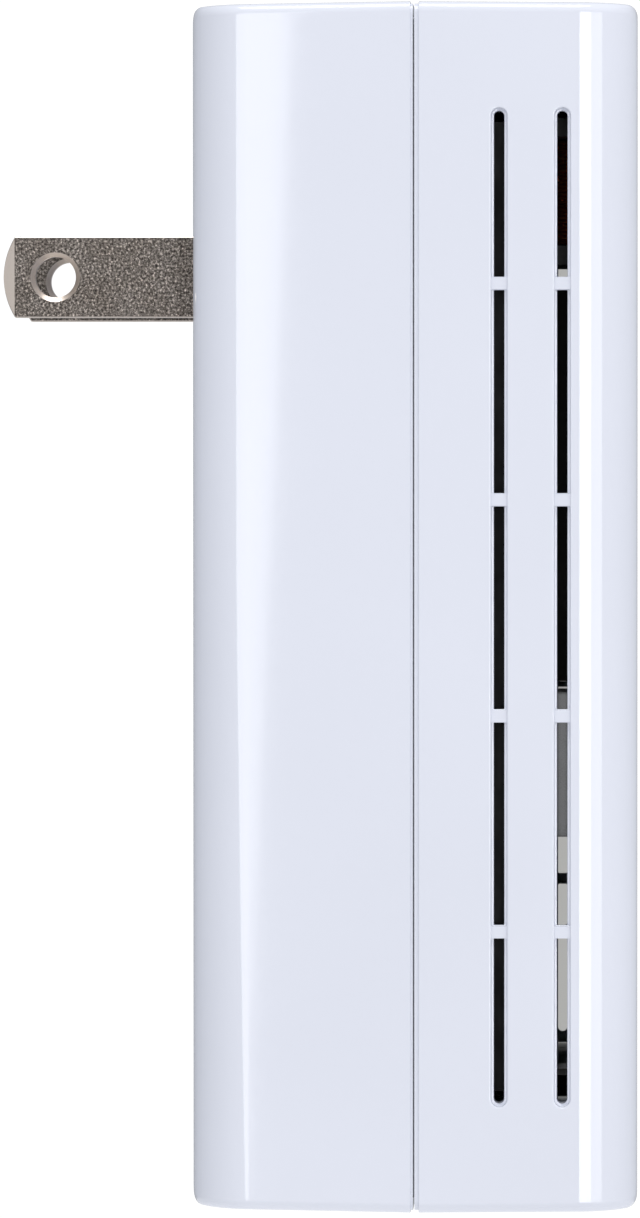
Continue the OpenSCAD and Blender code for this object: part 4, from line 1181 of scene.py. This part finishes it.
def build_floor(studio):
    """A round, pale, faintly glowing floor well below the body."""
    bm = bmesh.new()
    radius, thick = studio.floor_size / 2, 10 * MM
    add_turned(bm, [(radius - MM, -thick), (radius, MM - thick), (radius, -MM), (radius - MM, 0)],
               place_at((0, 0, 0), (1, 0, 0), (0, 1, 0), (0, 0, 1)), 128)
    floor = new_object("floor", bm)
    floor.location = (0, 0, MID_Z - HALF_H - studio.floor_drop)
    paint = moulded("floor_paint", (0.93, 0.93, 0.93), rough=(0.6, 0.7), mottle=0.004,
                    patch=3, grain=300, bump=0.02)
    glow = paint.node_tree.nodes["Principled BSDF"]
    glow.inputs["Emission Color"].default_value = (1, 1, 1, 1)
    glow.inputs["Emission Strength"].default_value = 0.3
    floor.data.materials.append(paint)


def build_stage():
    """Camera, lamps, room light, floor and the card behind the far vents, which glows a fixed
    grey: painted shade.
    """
    studio = settings()[3]
    build_camera(studio)
    for name, strip in STRIP_LAMPS.items():
        softbox_between(name, *strip)
    for name, lamp in PLUG_LAMPS.items():
        add_softbox(name, *lamp)
    # the overhead lamp lights the upper edges, and is the one that also lights evenly
    top = add_softbox("top_lamp", (-0.25, 0.0, 0.9), (0, 0, 0), (0.5, 0.5), 4.0)
    top.visible_diffuse = True
    build_room(studio)
    build_floor(studio)
    build_shade_glow_card()


def build_shade_glow_card():
    """A grey strip set in the far side wall behind its front vents, clear from its back: it glows
    a fixed grey, painted shade standing in for the dim view through the far vents.
    """
    vents = settings()[1]
    bm = bmesh.new()
    sunk = 1.35 * MM
    put = place_at((HALF_W - sunk, vents.front_in - DEPTH, MID_Z), (0, 1, 0), (0, 0, 1),
                   (-1, 0, 0))
    outline = rounded(3 * MM, vents.length + 3 * MM, MM, 4)
    bm.faces.new([bm.verts.new(put(a, b, 0)) for a, b in outline(0)])
    card = new_object("vent_card", bm)
    if card.data.polygons[0].normal.x > 0:
        card.data.flip_normals()
    material = bpy.data.materials.new("painted_vent_shade")
    material.use_nodes = True
    tree = material.node_tree
    tree.nodes.clear()
    out = tree.nodes.new("ShaderNodeOutputMaterial")
    glow, clear, mix = (tree.nodes.new(kind) for kind in
                        ("ShaderNodeEmission", "ShaderNodeBsdfTransparent", "ShaderNodeMixShader"))
    # painted shade: the strip emits this fixed grey rather than being lit
    glow.inputs["Color"].default_value = (*srgb(174, 174, 172), 1)
    face = tree.nodes.new("ShaderNodeNewGeometry").outputs["Backfacing"]
    tree.links.new(face, mix.inputs["Fac"])
    tree.links.new(glow.outputs[0], mix.inputs[1])
    tree.links.new(clear.outputs[0], mix.inputs[2])
    tree.links.new(mix.outputs[0], out.inputs["Surface"])
    card.data.materials.append(material)


# ------------------------------------------------------------ operators


# What each group of pieces keeps from the CAD, with eased edges and a finish
KEPT = {
    "fixings": ("cover_screws", "mains_board_screws", "data_board_screws", "rating_label",
                "insulator_film"),
    "contacts": ("blade_carrier", "blade_contacts"),
    "boards": ("mains_board", "data_board", "board_header", "header_pins"),
    "power": ("fuse", "line_capacitor", "choke_core", "bridge_rectifier", "power_controller",
              "transformer_core", "transformer_winding", "optocoupler", "output_diode"),
    "network": ("modem_chip", "thermal_pad", "heat_sink", "memory_chip", "flash_chip", "crystal",
                "coupling_core", "network_magnetics"),
    "jack": ("port_shield", "port_housing", "port_contacts"),
    "controls": ("pair_button", "pair_switch_base", "pair_switch_plunger", "reset_switch_base",
                 "reset_switch_plunger", "light_pipe", "status_leds"),
}


def keep(group):
    """Finishes the CAD nodes of one group."""
    for node in KEPT[group]:
        soften(node)


class Undoable:
    """What every step of the build has in common"""

    bl_options = {"REGISTER", "UNDO"}


class ADAPTER_OT_stage(Undoable, bpy.types.Operator):
    """Sets up the camera, the lamps and the floor"""

    bl_idname = "adapter.stage"
    bl_label = "Stage"

    def execute(self, context):
        build_stage()
        return {"FINISHED"}


class ADAPTER_OT_rear_cover(Undoable, bpy.types.Operator):
    """Moulds the wall-side cover"""

    bl_idname = "adapter.rear_cover"
    bl_label = "Rear cover"

    def execute(self, context):
        build_rear_cover()
        return {"FINISHED"}


class ADAPTER_OT_front_cover(Undoable, bpy.types.Operator):
    """Moulds the front cover with its vents"""

    bl_idname = "adapter.front_cover"
    bl_label = "Front cover"

    def execute(self, context):
        build_front_cover()
        return {"FINISHED"}


class ADAPTER_OT_blades(Undoable, bpy.types.Operator):
    """Makes the two blades of the plug, and points their lamps at them"""

    bl_idname = "adapter.blades"
    bl_label = "Blades"

    def execute(self, context):
        for node in ("blade_left", "blade_right"):
            blade = build_blade(node)
            flag_lamp("rear_lamp", blade, "EXCLUDE")
            for lamp in PLUG_LAMPS:
                flag_lamp(lamp, blade, "INCLUDE")
        return {"FINISHED"}


class ADAPTER_OT_contacts(Undoable, bpy.types.Operator):
    """Finishes the blades' carrier and the strips behind it"""

    bl_idname = "adapter.contacts"
    bl_label = "Plug carrier and contacts"

    def execute(self, context):
        keep("contacts")
        return {"FINISHED"}


class ADAPTER_OT_fixings(Undoable, bpy.types.Operator):
    """Finishes the screws, the blank label and the black film"""

    bl_idname = "adapter.fixings"
    bl_label = "Screws, label and film"

    def execute(self, context):
        keep("fixings")
        return {"FINISHED"}


class ADAPTER_OT_boards(Undoable, bpy.types.Operator):
    """Finishes the two boards and adds their solder and small parts"""

    bl_idname = "adapter.boards"
    bl_label = "Boards"

    def execute(self, context):
        keep("boards")
        build_solder()
        build_chip_parts()
        return {"FINISHED"}


class ADAPTER_OT_power(Undoable, bpy.types.Operator):
    """Makes the mains board's coils, cans and discs, and finishes the rest of it"""

    bl_idname = "adapter.power"
    bl_label = "Power parts"

    def execute(self, context):
        keep("power")
        build_cans("bulk_capacitors")
        build_cans("output_capacitors")
        build_choke_windings()
        build_filter_inductor()
        build_disc("varistor", 0.35 * MM)
        build_disc("disc_capacitor", 0.3 * MM)
        return {"FINISHED"}


class ADAPTER_OT_network(Undoable, bpy.types.Operator):
    """Winds the coupling transformer and finishes the data board's parts"""

    bl_idname = "adapter.network"
    bl_label = "Data parts"

    def execute(self, context):
        keep("network")
        build_coupling_winding()
        return {"FINISHED"}


class ADAPTER_OT_jack(Undoable, bpy.types.Operator):
    """Finishes the jack's shield, its housing and its sprung wires"""

    bl_idname = "adapter.jack"
    bl_label = "Jack"

    def execute(self, context):
        keep("jack")
        return {"FINISHED"}


class ADAPTER_OT_controls(Undoable, bpy.types.Operator):
    """Finishes the button, the switches, the lamps and their light pipe"""

    bl_idname = "adapter.controls"
    bl_label = "Button, switches and lamps"

    def execute(self, context):
        keep("controls")
        missed = [node for node, obj in NODES.items()
                  if not obj.hide_render and not obj.modifiers]
        if missed:
            raise RuntimeError(f"left without a finish: {missed}")
        return {"FINISHED"}


OPERATORS = (ADAPTER_OT_stage, ADAPTER_OT_rear_cover, ADAPTER_OT_front_cover, ADAPTER_OT_blades,
             ADAPTER_OT_contacts, ADAPTER_OT_fixings, ADAPTER_OT_boards, ADAPTER_OT_power,
             ADAPTER_OT_network, ADAPTER_OT_jack, ADAPTER_OT_controls)


class ADAPTER_PT_build(bpy.types.Panel):
    """Lists the steps and their settings"""

    bl_idname = "ADAPTER_PT_build"
    bl_label = "Powerline Adapter"
    bl_space_type = "VIEW_3D"
    bl_region_type = "UI"
    bl_category = "Adapter"

    def draw(self, context):
        for step in OPERATORS:
            self.layout.operator(step.bl_idname)
        for group in settings():
            box = self.layout.box()
            for name in group.bl_rna.properties.keys():
                if name not in ("rna_type", "name"):
                    box.prop(group, name)


GROUPS = {"adapter_shell": AdapterShellSettings, "adapter_vents": AdapterVentSettings,
          "adapter_plug": AdapterPlugSettings, "adapter_studio": AdapterStudioSettings}
CLASSES = (*GROUPS.values(), *OPERATORS, ADAPTER_PT_build)


def register():
    for cls in CLASSES:
        bpy.utils.register_class(cls)
    for name, cls in GROUPS.items():
        setattr(bpy.types.Scene, name, PointerProperty(type=cls))


def unregister():
    for name in GROUPS:
        delattr(bpy.types.Scene, name)
    for cls in reversed(CLASSES):
        bpy.utils.unregister_class(cls)


def main():
    """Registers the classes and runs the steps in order."""
    register()
    for step in OPERATORS:
        getattr(bpy.ops.adapter, step.bl_idname.split(".")[1])()


if __name__ == "__main__":
    main()
